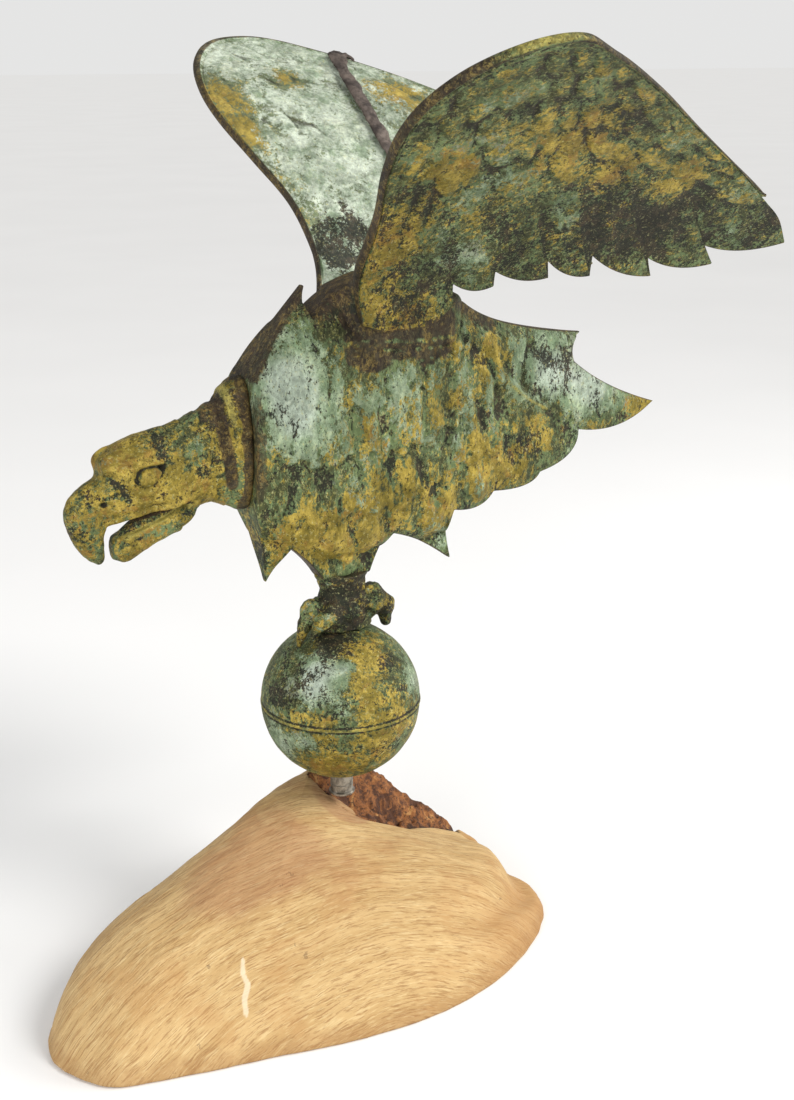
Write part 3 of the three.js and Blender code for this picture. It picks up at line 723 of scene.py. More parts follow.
@dataclass
class Body:
    """The swelled body with its ruff, breast spike, wing sockets and feathered tail."""

    columns: int = 400
    rows: int = 92
    rim_rows: int = 7
    round_in: float = 1.3
    upper: Knots = (
        (-62, 214), (-42, 244, -22, 265), (-25, 256, -21, 247), (-8, 262, 14, 270),
        (52, 272, 85, 247), (108, 229, 178, 220), (166, 212, 171, 202), (196, 182, 241, 167),
    )
    upper_ends: tuple[float, ...] = (0.075, 0.105, 0.21, 0.43, 0.76, 0.82, 1.0)
    lower: Knots = (
        (-62, 134), (-56, 121, -51, 88), (-45, 99, -36, 108), (-22, 97, -14.5, 84), (2, 84, 18, 84),
        (22, 95, 31, 109), (53, 102, 79, 82), (73, 103, 76, 117), (101, 110, 108, 124),
        (142, 119, 146, 131), (178, 136, 176, 156), (214, 147, 241, 167),
    )
    lower_ends: tuple[float, ...] = (0.15, 0.2, 0.27, 0.37, 0.41, 0.55, 0.6, 0.68, 0.77, 0.85, 1.0)
    spine: Knots = (
        (0, -62, 174), (0.075, -55, 178), (0.105, -51, 178), (0.15, -40, 175), (0.2, -23, 173),
        (0.27, -4, 172), (0.37, 19, 172), (0.41, 29, 172), (0.55, 46, 174), (0.6, 60, 174),
        (0.68, 80, 174), (0.76, 103, 174), (0.82, 124, 174), (0.85, 139, 172), (0.92, 185, 170),
        (1, 240, 167),
    )
    middle_line: Knots = ((-62, 176), (30, 184), (130, 176), (241, 168))
    reach_line: Knots = ((-62, 54), (-10, 82), (60, 82), (110, 66), (170, 46), (241, 20))
    swell_line: Knots = ((-62, 11), (-20, 17), (40, 19), (110, 13), (170, 7), (241, 1.5))
    edge_line: Knots = ((-62, 9), (-10, 8), (40, 7), (110, 2.4), (241, 1.4))
    crown_line: Knots = ((225, 40), (238, 27), (250, 24), (262, 12), (272, 3))
    socket_at: tuple[float, float] = (36, 248)
    socket_length: Knots = ((20, 46), (50, 50))
    socket_height: float = 34
    socket_thick: float = 28.5
    socket_cap: float = 26.5
    fan_at: tuple[float, float] = (2, 330)
    rank_depth: float = 33
    lock_angle: float = 5.6
    blade_angle: float = 7.5
    tail_ridge: Knots = ((112, 197), (125, 186), (146, 174))
    grooves: tuple[tuple[float, float, Knots], ...] = (
        (2.0, -1.6, ((96, 210), (104, 196), (104, 184), (105, 176))),
        (3.6, -1.8, ((80, 227), (94, 212))),
        (1.7, -1.5, ((132, 218), (127, 204), (127, 194), (134, 182), (147, 171))),
        (2.2, 1.7, ((112, 197), (125, 186), (146, 174))),
        (2.6, -1.0, ((163, 212), (165, 196), (161, 180))),
        (2.4, -1.2, ((-4, 196), (-2, 170), (4, 146))),
        (2.4, -1.2, ((24, 178), (22, 154), (28, 132))),
        (2.4, -1.2, ((70, 182), (62, 160), (60, 140))),
    )

    def half(self, x: Array, z: Array) -> tuple[Array, Array]:
        """Half thickness in millimetres, and how far a point is on the wing socket.

        Formula: the larger of a shell, edge + swell sqrt(1 - off^2), and a squared-off
        socket, thick (1 - a^4 - b^4) under a cap, both under the crown's cut; a is the
        distance along in half lengths and b the distance up in half heights.

        Args:
            x: along the bird.
            z: above the ball's centre.

        Returns:
            The half thickness, and the difference between socket and shell.
        """
        middle, reach = stops(self.middle_line, x), stops(self.reach_line, x)
        edge = stops(self.edge_line, x) * (1 - 0.6 * ease(z, 225, 262))
        off = np.clip((z - middle) / reach, -1, 1)
        shell = edge + stops(self.swell_line, x) * np.sqrt(1 - off * off)
        a = (x - self.socket_at[0]) / stops(self.socket_length, x)
        b = (z - self.socket_at[1]) / self.socket_height
        socket = self.socket_thick * (1 - a**4 - b**4)
        socket = (socket + self.socket_cap - np.sqrt((socket - self.socket_cap) ** 2 + 6)) / 2
        crown = stops(self.crown_line, z)
        shell = shell * (1 - 0.75 * (1 - ease(z, 87, 118)) * (1 - ease(x, -46, -34)))
        swelled = (shell + socket + np.sqrt((shell - socket) ** 2 + 8)) / 2
        swelled = np.where(socket > -40, swelled, shell)
        return np.minimum(swelled, crown), socket - shell

    def feathers(self, x: Array, z: Array, side: Array) -> Array:
        """Relief in millimetres: locks fanning back and down from the shoulder, and tail blades.

        Formula: with b the bearing and r the distance from a point above the shoulder, a lock
        is a rounded ridge in b times a saw tooth in r that is half a lock out of step in
        every second rank.

        Args:
            x: along the bird.
            z: above the ball's centre.
            side: -1 on the near side and 1 on the far side.

        Returns:
            Heights of about -1.5 to 3.
        """
        spots = np.stack([x, z, 40 * side], axis=-1)
        beside, below = x - self.fan_at[0], self.fan_at[1] - z
        bearing = np.degrees(np.arctan2(beside, below)) + 1.6 * lumps(spots, 34, seed=41)
        away = (np.hypot(beside, below) + 5 * lumps(spots, 26, seed=42)) / self.rank_depth
        rank = np.floor(away)
        ridge_at = bearing / self.lock_angle + 0.5 * np.mod(rank, 2)
        lane = np.floor(ridge_at)
        across = np.abs(2 * (ridge_at - lane) - 1)
        down = away - rank - 0.22 * (1 - across**2)
        down = down - np.floor(down)
        vary = 0.65 + 0.7 * chance(lane, rank, seed=5)
        lock = vary * (1 - across**2.2) * (0.25 + 0.75 * down**0.8) * (1 - ease(down, 0.9, 1))
        blade_at = bearing / self.blade_angle + 0.25
        blade = 1 - np.abs(2 * (blade_at - np.floor(blade_at)) - 1) ** 1.5
        tail, front = ease(x, 108, 138), ease(x, -60, -38)
        relief = 2.5 * lock * front * (1 - tail)
        relief += 0.9 * (blade - 0.5) * tail * (1 - ease(x, 200, 238))
        folds = lumps(np.stack([x + 0.25 * z, z / 3.4, 40 * side], axis=-1), 9, seed=45)
        relief += layered(spots, ((0.9, 19, 43), (0.4, 6, 44)))
        relief += 1.7 * folds * (1 - 0.7 * tail) * front
        for width, depth, knots in self.grooves:
            relief += depth * stroke(x, z, knots, width)
        return relief * (1 - 0.85 * ease(z, 226, 236) * (1 - ease(x, 95, 112)))

    def build(self, finish: bpy.types.Material) -> None:
        """Makes the body as closed sections and dresses it.

        Formula: section t runs up the near side from the lower outline L(t) over the spine
        Q(t) to the upper outline U(t), across the rounded rim and down the far side; y is
        plus or minus half(x, z) + feathers(x, z).

        Args:
            finish: its material.
        """
        t = np.linspace(0, 1, self.columns)
        upper = quadratic_path(self.upper, self.upper_ends, t)
        lower = quadratic_path(self.lower, self.lower_ends, t)
        at = np.array(self.spine, float)
        spine = np.stack([np.interp(t, at[:, 0], at[:, k]) for k in (1, 2)], axis=-1)
        share = np.linspace(0, 1, self.rows // 2)
        share = 0.35 * share + 0.65 * ease(share, 0, 1)

        def ray(outline: Array) -> Array:
            """Points from just inside the outline to the spine, shape (columns, rows / 2, 2)."""
            reach = np.linalg.norm(spine - outline, axis=1, keepdims=True)
            inset = np.minimum(self.round_in / np.maximum(reach, 1e-6), 0.4)
            start = outline + (spine - outline) * inset
            return start[:, None] + share[None, :, None] * (spine - start)[:, None]

        up = np.concatenate([ray(lower), ray(upper)[:, ::-1][:, 1:]], axis=1)
        rows = up.shape[1]

        def face(side: int) -> tuple[Array, Array]:
            """One side's y and its relief, from the lower rim up."""
            x, z = up[..., 0], up[..., 1]
            half, socket = self.half(x, z)
            relief = self.feathers(x, z, np.full(x.shape, float(side)))
            inward = np.minimum(np.arange(rows), np.arange(rows)[::-1])[None, :] / 14
            relief = relief * ease(inward, 0, 1) * window(t, 0, 0.03, 0.97, 1)[:, None]
            bead = 1.2 * hump(x, -59.5, 2.6) * (1 - ease(z, 212, 222)) * ease(z, 120, 130)
            crease = -1.3 * hump(socket, -0.4, 1.3) * ease(z, 205, 212)
            return side * (half + relief + bead + crease), relief + crease

        turn = np.linspace(0, math.pi, self.rim_rows + 2)[1:-1]

        def rim(outline: Array, start: Array, near: Array, far: Array) -> Array:
            """Rows round the rim from near side to far side, shape (columns, rim rows, 3)."""
            bulge = np.sin(turn)[None, :, None] ** 0.5
            flat = start[:, None] + bulge * (outline - start)[:, None]
            y = (near + far)[:, None] / 2 + (near - far)[:, None] / 2 * np.cos(turn)[None, :]
            return np.stack([flat[..., 0], y, flat[..., 1]], axis=-1)

        (near_y, near_relief), (far_y, far_relief) = face(-1), face(1)
        near = np.stack([up[..., 0], near_y, up[..., 1]], axis=-1)
        far = np.stack([up[..., 0], far_y, up[..., 1]], axis=-1)
        top = rim(upper, up[:, -1], near_y[:, -1], far_y[:, -1])
        bottom = rim(lower, up[:, 0], near_y[:, 0], far_y[:, 0])
        loop = wrapped(near, top, far, bottom[:, ::-1])
        none = np.zeros((self.columns, self.rim_rows))
        relief = wrapped(near_relief, none, far_relief, none)
        plain = np.zeros(near_relief.shape)
        edge = wrapped(plain, none + 1, plain, none + 1)
        cap = loop[:1].copy()
        cap[..., 1:] = cap[..., 1:] * 0.8 + cap[..., 1:].mean(axis=1, keepdims=True) * 0.2
        centre = np.broadcast_to(cap.mean(axis=1, keepdims=True), cap.shape)
        tip = np.broadcast_to(loop[-1:].mean(axis=1, keepdims=True), cap.shape)
        points = np.concatenate([centre, cap, loop, tip])

        def widened(values: Array) -> Array:
            """Values for the cap and tip rows as well."""
            return np.concatenate([values[:1], values[:1], values, values[-1:]])

        x, z = loop[..., 0], loop[..., 2]
        wander = 3 * lumps(loop, 7, seed=47)
        ragged = 6 * lumps(loop, 13, seed=49, octaves=3)
        flange = ease(z + ragged, 212, 221) * (1 - ease(z, 246, 252))
        flange *= window(x + 0.6 * ragged, -11, -4, 62, 72)
        wavy = z + 1.6 * lumps(loop, 14, seed=48) + 0.02 * (x - 30)
        strip = hump(wavy, 231, 1.5) + 0.8 * hump(wavy, 225, 1.1) + 0.6 * hump(wavy, 219, 1.0)
        strip = np.clip(strip, 0, 1) * flange
        # Under the wing's root the body is painted umber: partly the ledge's own brown patina,
        # partly painted shadow under the root. The strips across it take pale painted highlight
        # lines instead.
        ledge = 0.95 * flange * (1 - strip)
        recess = (1 - ease(x + wander, -57.5, -55.5)) * ease(z, 138, 146) * (1 - ease(z, 205, 214))
        ruff = 0.75 * stroke(x, z, ((-62, 217), (-48, 238), (-25, 260)), 4.5)
        crown = 0.6 * stroke(x, z, ((-18, 250), (8, 268), (50, 262), (84, 244), (100, 234)), 9)
        rimmed = 0.9 * edge * ease(x, -55, -40)
        marks = {
            "relief": widened(np.maximum(0.36 + relief / 3.6, 0.19)),
            "umber": widened(np.maximum.reduce([ledge, 0.5 * recess, ruff, crown, rimmed])),
            # pale: painted highlight along the tail ridge and along the strips under the wing's
            # root.
            "pale": widened(np.maximum(0.5 * stroke(x, z, self.tail_ridge, 1.6), 0.3 * strip)),
            "edge": widened(edge),
        }
        faces = grid_faces(len(points), points.shape[1])
        mesh = Skin(placed(points.reshape(-1, 3)), faces, marks).to_mesh("eagle_body")
        zone_marks(mesh, "body")
        piece("eagle_body", mesh, finish, "verdigris_copper", "body")


@dataclass
class Wing:
    """One raised wing: a thin arched plate with scales, flight feathers and a rolled front rim."""

    side: int
    columns: int = 348
    rows: int = 118
    rise_angle: float = math.radians(53)
    root_out: float = 28.0
    root_up: float = 255.0
    lean: float = 8.0
    web_half: float = 2.3
    edge_half: float = 0.8
    rim_half: float = 2.6
    scale_rows: int = 8
    scales: int = 15
    leading: Knots = (
        (2, -12), (0, 16), (-3, 60), (-14, 96), (-21, 126), (-21, 152), (-11, 182), (10, 204),
        (36, 209), (72, 192), (122, 162), (180, 123), (262, 70),
    )
    root_edge: Knots = ((2, -12), (18, -17), (50, -17), (66, -6))
    feather_ends: Knots = (
        (63, 7, 93, 3), (91, 13, 132, 5.5), (127, 18, 163, 5), (159, 20, 210, 3),
        (202, 17, 254, 12), (240, 27, 301, 31),
    )
    last_edge: Knots = ((284, 51), (270, 61), (256, 66), (262, 71))
    steps: int = 3
    sag: tuple[float, float] = (14, 2)
    bend: float = 6.0
    wall: float = 0.012

    def trailing(self, u: Array) -> tuple[Array, Array, Array]:
        """The trailing edge at u from 0 to 1, with the place across each feather.

        Formula: straight root and tip stretches; each feather runs from its notch to its tip
        and hangs sag run (1 - run) below that line, its sag growing with its number.

        Args:
            u: places from the root's front to the wing's tip.

        Returns:
            Points in the wing's plane, the place from 0 to 1 across a feather, and the
            feather's number or -1.
        """
        feathered = len(self.feather_ends) * (self.steps + 1)
        last = len(self.root_edge) + feathered + len(self.last_edge) - 1
        spot = u * last
        whole = np.arange(last + 1, dtype=float)
        place_in, number = np.zeros_like(u), np.full(u.shape, -1.0)
        fine_at = [whole[: len(self.root_edge)]]
        fine = [np.array(self.root_edge, float)]
        for index, (nx, ny, tx, ty) in enumerate(self.feather_ends):
            start = len(self.root_edge) + index * (self.steps + 1)
            run = np.linspace(0, 1, 25)
            fine_at.append(start + run * self.steps)
            hang = (self.sag[0] + self.sag[1] * index) * run * (1 - run)
            fine.append(np.stack([nx + (tx - nx) * run, ny + (ty - ny) * run - hang], axis=-1))
            inside = (spot >= start - 1) & (spot <= start + self.steps)
            place_in = np.where(inside, np.clip((spot - start) / self.steps, 0, 1), place_in)
            number = np.where(inside, index, number)
        ends = len(self.last_edge)
        fine_at.append(last - ends + np.linspace(0, ends, 33)[1:])
        last_knots = (self.feather_ends[-1][2:], *self.last_edge)
        fine.append(smooth_curve(last_knots, np.linspace(0, 1, 33))[1:])
        at, spots = np.concatenate(fine_at), np.concatenate(fine)
        edge = np.stack([np.interp(spot, at, spots[:, k]) for k in (0, 1)], axis=-1)
        return edge, place_in, number

    def stand(self, along: Array, up: Array) -> Array:
        """How far the arched wing stands off its chord plane, a quadratic in along and up."""
        rising = 1.2 + 0.068 * along + 0.158 * up
        return rising - 0.00034 * along**2 - 0.00018 * along * up - 0.00163 * up**2

    def place(self, along: Array, up: Array, off: Array) -> Array:
        """Places the wing's flat coordinates on the bird, in millimetres about the ball's centre.

        Formula: the wing rises at rise_angle, and bends to upright below up = 0; the part of
        it above the bend is (up + sqrt(up^2 + bend^2)) / 2.

        Args:
            along: place along the bird.
            up: place up the wing from its root.
            off: how far the point stands off the arched middle surface.

        Returns:
            Points, their last axis of length 3.
        """
        high = self.stand(along, np.maximum(up, -4)) + off
        bend = np.sqrt(up**2 + self.bend**2)
        above, share = (up + bend) / 2, (1 + up / bend) / 2
        tilt = math.pi / 2 + (self.rise_angle - math.pi / 2) * share
        out = self.root_out + above * math.cos(self.rise_angle) - high * np.sin(tilt)
        rise = self.root_up + up - above * (1 - math.sin(self.rise_angle)) + high * np.cos(tilt)
        return np.stack([along, self.side * out, rise], axis=-1)

    def mounds(self, u: Array, rise: Array, face: int) -> Array:
        """Rows of rounded scales like tiles, from 0 between scales to 1 on a scale's tip.

        Formula: the largest, over the nine nearest scales, of (1 - rho^2)^0.7 (0.5 + 0.32 d),
        where rho is the distance from the scale's centre in half axes and d grows to its tip.
        Each scale's height varies a little.

        Args:
            u: place along the wing.
            rise: place from the trailing edge to the leading edge.
            face: 0 for the outer face and 1 for the inner face.

        Returns:
            Heights from 0 to 1.
        """
        row_at = rise * self.scale_rows
        lane_at = u * self.scales + 0.35 * np.sin(5 * rise + 2 * face)
        best = np.zeros_like(row_at)
        for row_step in (-1, 0, 1):
            row = np.floor(row_at) + row_step
            shift = 0.5 * np.mod(row, 2)
            for lane_step in (-1, 0, 1):
                lane = np.floor(lane_at - shift) + lane_step
                jitter = chance(row, lane, seed=3 + face) - 0.5
                sway = chance(row, lane, seed=9 + face) - 0.5
                dx = (lane_at - shift - lane - 0.5 - 0.3 * jitter) / 0.62
                dy = (row_at - row - 0.5 - 0.3 * sway) / 0.74
                dome = np.clip(1 - dx * dx - dy * dy, 0, 1) ** 0.7
                best = np.maximum(best, dome * (0.5 - 0.32 * dy) * (1 + 0.5 * jitter))
        return best

    def relief(self, u: Array, rise: Array, flat: Array, length: Array, face: int) -> Array:
        """Relief of one face, from scales, feathers, lumps and the rolled rim.

        Args:
            u: place along the wing.
            rise: place from the trailing edge to the leading edge.
            flat: points in the wing's plane, shape (columns, rows, 2).
            length: distance from the trailing edge to the leading edge.
            face: 0 for the outer face and 1 for the inner face.

        Returns:
            Heights in millimetres.
        """
        _, place_in, number = self.trailing(u)
        other = np.full((*rise.shape, 1), 90.0 * face + 7 * self.side)
        spots = np.concatenate([flat, other], axis=-1)
        grow = ease(rise, 0.27, 0.45) * (1 - ease(rise, 0.93, 0.97)) * ease(u, 0.03, 0.12)
        scales = 3.0 * (self.mounds(u, rise, face) - 0.22) * grow
        blade = np.where(number >= 0, place_in**1.4 - 0.35, 0.0)
        quill = hump(place_in, 0.5, 0.06) * (number >= 0)
        flight = (0.8 * blade + 0.35 * quill) * (1 - ease(rise, 0.2, 0.38))
        soft = layered(spots, ((0.7, 26, 61), (0.3, 8, 62)))
        from_rim = (1 - rise) * length
        rolled = 0.9 * hump(from_rim, 2.2, 1.5) - 0.7 * hump(from_rim, 5.0, 1.1)
        rolled += 0.45 * hump(from_rim, 7.6, 1.4)
        keep = ease(from_rim, 5, 12) * ease(rise * length, 0.5, 6)
        return (scales + flight + soft) * keep + rolled * window(u, 0, 0.03, 0.95, 1)

    def build(self, finish: bpy.types.Material, name: str, node: str) -> None:
        """Makes the wing as closed sections from the trailing to the leading edge and dresses it.

        Formula: section u runs up the outer face along the straight line from the trailing
        to the leading edge, round the front rim and back along the inner face; the faces
        stand plus and minus half the plate's thickness off the arched middle surface.

        Args:
            finish: its material.
            name: the piece's name.
            node: the solid that it stands for.
        """
        u = np.linspace(0, 1, self.columns)
        trail, _, _ = self.trailing(u)
        pace = stops(((0, 0), (0.12, 0.42), (1, 1)), u)
        lead = smooth_curve(self.leading, pace)
        free = ease(lead[:, 1], -14, 30) * (1 - ease(lead[:, 0], 0, 60))
        lead[:, 0] -= self.side * self.lean * free * (lead[:, 1] - 115) / 100
        length = np.linalg.norm(lead - trail, axis=1)
        line = np.linspace(0, 1, self.rows)
        rise = np.broadcast_to(line, (self.columns, self.rows))
        flat = trail[:, None] + (lead - trail)[:, None] * line[None, :, None]
        along, up = flat[..., 0], flat[..., 1]
        columns = np.broadcast_to(u[:, None], rise.shape)
        reach = np.broadcast_to(length[:, None], rise.shape)
        plate = self.edge_half + (self.web_half - self.edge_half) * ease(rise, 0, 0.3)
        plate = plate + (self.rim_half - self.web_half) * ease(rise, 0.9, 1)
        ends = (np.sin(np.pi * np.clip(end / self.wall, 0, 0.5)) for end in (u, 1 - u))
        closing = math.prod(ends)[:, None]
        faces_made, reliefs = [], []
        for face in (0, 1):
            relief = self.relief(columns, rise, flat, reach, face)
            off = (plate + relief) * closing
            faces_made.append(self.place(along, up, off if face else -off))
            reliefs.append(relief)
        outer, inner = faces_made
        turn = np.linspace(0, math.pi, 6)[1:-1]

        def rim(first: Array, second: Array, ahead: Array) -> Array:
            """Rows round an edge from face to face, bulging ahead by half the thickness."""
            middle, swing = (first + second) / 2, (first - second) / 2
            bulge = np.linalg.norm(swing, axis=1, keepdims=True) * ahead * 0.55
            swung = swing[:, None] * np.cos(turn)[None, :, None]
            return middle[:, None] + swung + bulge[:, None] * np.sin(turn)[None, :, None]

        def ahead_of(last: Array, before: Array) -> Array:
            """Unit directions off the edge."""
            step = last - before
            return step / np.maximum(np.linalg.norm(step, axis=1, keepdims=True), 1e-6)

        front = rim(outer[:, -1], inner[:, -1], ahead_of(outer[:, -1], outer[:, -3]))
        back = rim(inner[:, 0], outer[:, 0], ahead_of(outer[:, 0], outer[:, 2]))
        points = wrapped(outer, front, inner, back)
        none = np.zeros(front.shape[:2])
        relief = wrapped(reliefs[0], none, reliefs[1], none)
        plain = np.zeros(rise.shape)
        inside = wrapped(plain, none, plain + 1, none)
        down, lift = (1 - rise) * reach, rise * reach
        from_rim = wrapped(down, none, down, none + 60)
        from_tail = wrapped(lift, none + 60, lift, none)
        dim = 0.95 * (1 - ease(from_rim, 1.4, 3.4))
        dim = np.maximum(dim, 0.6 * (1 - ease(from_tail, 0.6, 1.8)))
        # Painted highlight: lit marks the top of the leading rim, where the dark rim is lifted and
        # a pale glint is painted. The pale line 4.8 mm in from the rim is a painted highlight along
        # the rolled edge.
        lit = hump(points[..., 0], 20, 26) * ease(points[..., 2], 350, 375) * (1 - 0.7 * inside)
        marks = {
            "relief": 0.30 + relief / 3.0,
            "inside": inside,
            "edge": 1 - ease(from_rim, 5, 9),
            "umber": dim * (1 - 0.9 * lit * (1 - ease(from_rim, 1.2, 2.4))),
            "pale": 0.5 * lit * (1 - ease(from_rim, 1.0, 2.4)) + 0.3 * hump(from_rim, 4.8, 0.9),
        }
        faces = grid_faces(self.columns, points.shape[1])
        mesh = Skin(placed(points.reshape(-1, 3)), faces, marks).to_mesh(name)
        zone_marks(mesh, "wing")
        piece(name, mesh, finish, "verdigris_copper", node)


@dataclass
class Head:
    """The cast head: neck ring, feathered neck, brow, eye, hooked beak and open jaw."""

    grain: float = 0.62 * MM
    sections: Knots = (
        (-62.4, 216, -62.4, 137, 15.5), (-64, 217, -64, 136.5, 16.3), (-69, 215, -69, 137.2, 15.8),
        (-73.5, 211, -73, 139.2, 14.8), (-80, 204.5, -79, 142.6, 13.7),
        (-91, 198, -88, 144.5, 13.5), (-103, 193.5, -98, 140, 15), (-116, 191, -108, 131, 16.5),
        (-129, 188.5, -121, 143.5, 16.5), (-141, 184.5, -132, 141.5, 15.5),
        (-149.5, 178, -140, 140, 13), (-152.5, 168, -145, 139, 10), (-158, 165, -147.5, 138.5, 9.5),
        (-165, 160, -149, 137, 10), (-170, 154, -150, 134.5, 9.6),
        (-172, 146.5, -150.3, 131.5, 8.6), (-170.3, 138, -150, 128, 7.2),
        (-166, 128.5, -150, 124, 5.6), (-160, 120.5, -150.5, 119.5, 3.6),
        (-154.5, 117, -152.5, 117, 1.2),
    )
    jaw: Knots = (
        (-94, 158, -92, 145, 9.5), (-105, 146, -101, 135.5, 12.5), (-115, 141.8, -108, 131, 13),
        (-126, 138, -120, 125.5, 12), (-136, 134.6, -131, 119.8, 10.5),
        (-143.5, 132, -139, 116.3, 8), (-146.0, 129.5, -145.4, 118.6, 4.6),
    )
    tongue: Knots = (
        (-96, 153, -96, 146, 6), (-108, 150, -108, 137, 7.5), (-120, 146, -120, 132, 6.8),
        (-132, 140.5, -132, 126, 6.0), (-140, 135, -140, 125, 4.4),
    )
    lip_line: Knots = ((-149.6, 139.4), (-103, 149.6), (-92, 153.5))
    jaw_line: Knots = ((-146, 131.5), (-136, 134.6), (-126, 138), (-115, 141.8), (-103, 147.5))
    eye: tuple[float, float] = (-125.5, 168.5)
    eye_tilt: float = math.radians(24)
    brow: tuple[float, float] = (-134, 176.4)
    brow_tilt: float = math.radians(18)
    mouth_end: float = -149.6
    lock_depth: float = 9.5
    lock_width: float = 7.5

    @staticmethod
    def loft(sections: Knots, rings: int, sides: int) -> Skin:
        """A closed skin of ovals between a top line and a low line.

        Formula: with a the turn, x and z run between the two lines by cos(a) and y is the
        half width times sin(a) to the power 0.8.

        Args:
            sections: (top x, top z, low x, low z, half width) for each section.
            rings: how many ovals.
            sides: points round each.

        Returns:
            The skin, in millimetres.
        """
        rows = smooth_curve(sections, np.linspace(0, 1, rings))
        turn = np.arange(sides) * (2 * math.pi / sides)
        lift, sweep = np.cos(turn), np.sin(turn)
        full = np.sign(sweep) * np.abs(sweep) ** 0.8
        x = (rows[:, :1] + rows[:, 2:3]) / 2 + lift * (rows[:, :1] - rows[:, 2:3]) / 2
        z = (rows[:, 1:2] + rows[:, 3:4]) / 2 + lift * (rows[:, 1:2] - rows[:, 3:4]) / 2
        points = np.stack([x, rows[:, 4:5] * full, z], axis=-1)
        ends = [np.broadcast_to(points[k].mean(axis=0), (1, sides, 3)) for k in (0, -1)]
        points = np.concatenate([ends[0], points, ends[1]])
        return Skin(points.reshape(-1, 3), grid_faces(rings + 2, sides))

    def relief(self, p: Array, n: Array) -> tuple[Array, Array]:
        """How far each point of the head stands out, in millimetres, and how hollow it is.

        Formula: a sum of bells across named lines (brow, lips, cere, neck ring), an almond
        dome with a groove and a rim for the eye, pits for the nostrils, and small locks.

        Args:
            p: points in millimetres about the ball's centre.
            n: normals.

        Returns:
            Heights in millimetres, and the relief mark.
        """
        x, z = p[:, 0], p[:, 2]
        flank = ease(np.abs(n[:, 1]), 0.15, 0.5)
        a, b = turned(x, z, self.eye, self.eye_tilt)
        narrow = 4.7 * (1 - 0.3 * np.clip(a / 8, -1, 1))
        rho = np.sqrt((a / 7.4) ** 2 + (b / narrow) ** 2)
        eye = 1.3 * np.sqrt(np.clip(1 - rho**2, 0, 1))
        eye -= 1.6 * hump(rho, 1.1, 0.19) * (0.75 + 0.25 * np.sign(b))
        eye += 1.2 * hump(rho, 1.62, 0.22) - 1.6 * stroke(a, b, ((7.5, 0.6), (11, 1.6)), 1.3)
        a, b = turned(x, z, self.brow, self.brow_tilt)
        brow = 2.3 * np.clip(1 - (a / 17) ** 2, 0, 1) * hump(b, 1.5, 2.2)
        brow += 2.9 * spot_bell(x, z, (-147, 177), (8.5, 7))
        lores = -0.9 * stroke(x, z, ((-147.5, 168.5), (-143, 163), (-138.5, 155.5)), 1.9)
        lip = z - stops(self.lip_line, x)
        upper = 0.9 * hump(lip, 1.7, 1.5) - 0.5 * hump(lip, 4.8, 1.2)
        upper *= window(x, -151, -146, -103, -96)
        low = stops(self.jaw_line, x) - z
        lower = 0.8 * hump(low, 1.5, 1.4) - 0.55 * hump(low, 4.6, 1.2)
        lower *= window(x, -147, -143, -104, -97)
        cere = 1.3 * spot_bell(x, z, (-151.5, 161.5), (4.0, 3.4))
        cere -= 0.8 * stroke(x, z, ((-155, 158), (-149, 156.5), (-145, 160)), 1.2)
        hole = np.hypot(x + 151.5, (z - 154) * 1.3)
        nostril = -2.2 * hump(hole, 0, 1.9) + 0.7 * hump(hole, 3.8, 1.1)
        ring = 0.3 * hump(x, -67.5, 2.6)
        away = (x + 150 + 0.25 * (190 - z)) / self.lock_depth
        around = z * 0.9 + 4 * lumps(p, 18, seed=71)
        rank = np.floor(away)
        lane_at = around / self.lock_width + 0.5 * np.mod(rank, 2)
        across = np.abs(2 * (lane_at - np.floor(lane_at)) - 1)
        lock = (1 - across**2) * (0.2 + 0.8 * (away - rank)) * window(x, -121, -108, -76, -73)
        crown = lumps(p / np.array([2.2, 1, 1]), 3.6, seed=72)
        crown *= ease(z, 181, 187) * ease(x, -146, -138)
        soft = layered(p, ((0.35, 9, 73), (0.16, 3, 74)))
        fine = (eye + brow + lores + upper + lower + cere + nostril) * flank
        neck = 0.9 * stroke(x, z, ((-75.5, 216), (-73, 190), (-72, 178)), 3.0)
        neck -= 1.2 * stroke(x, z, ((-81, 212), (-79, 185), (-75, 158)), 3.2)
        height = fine + lock + 0.35 * crown + soft + ring + neck
        dips = (eye, brow, lores, upper + lower, cere, nostril)
        hollow = sum(np.minimum(dip, 0) for dip in dips)
        shade = 0.5 + 0.36 * hollow * flank + 0.25 * np.maximum(fine, 0)
        return height, shade + 0.3 * (lock - 0.4) * (lock > 0) + 0.3 * soft

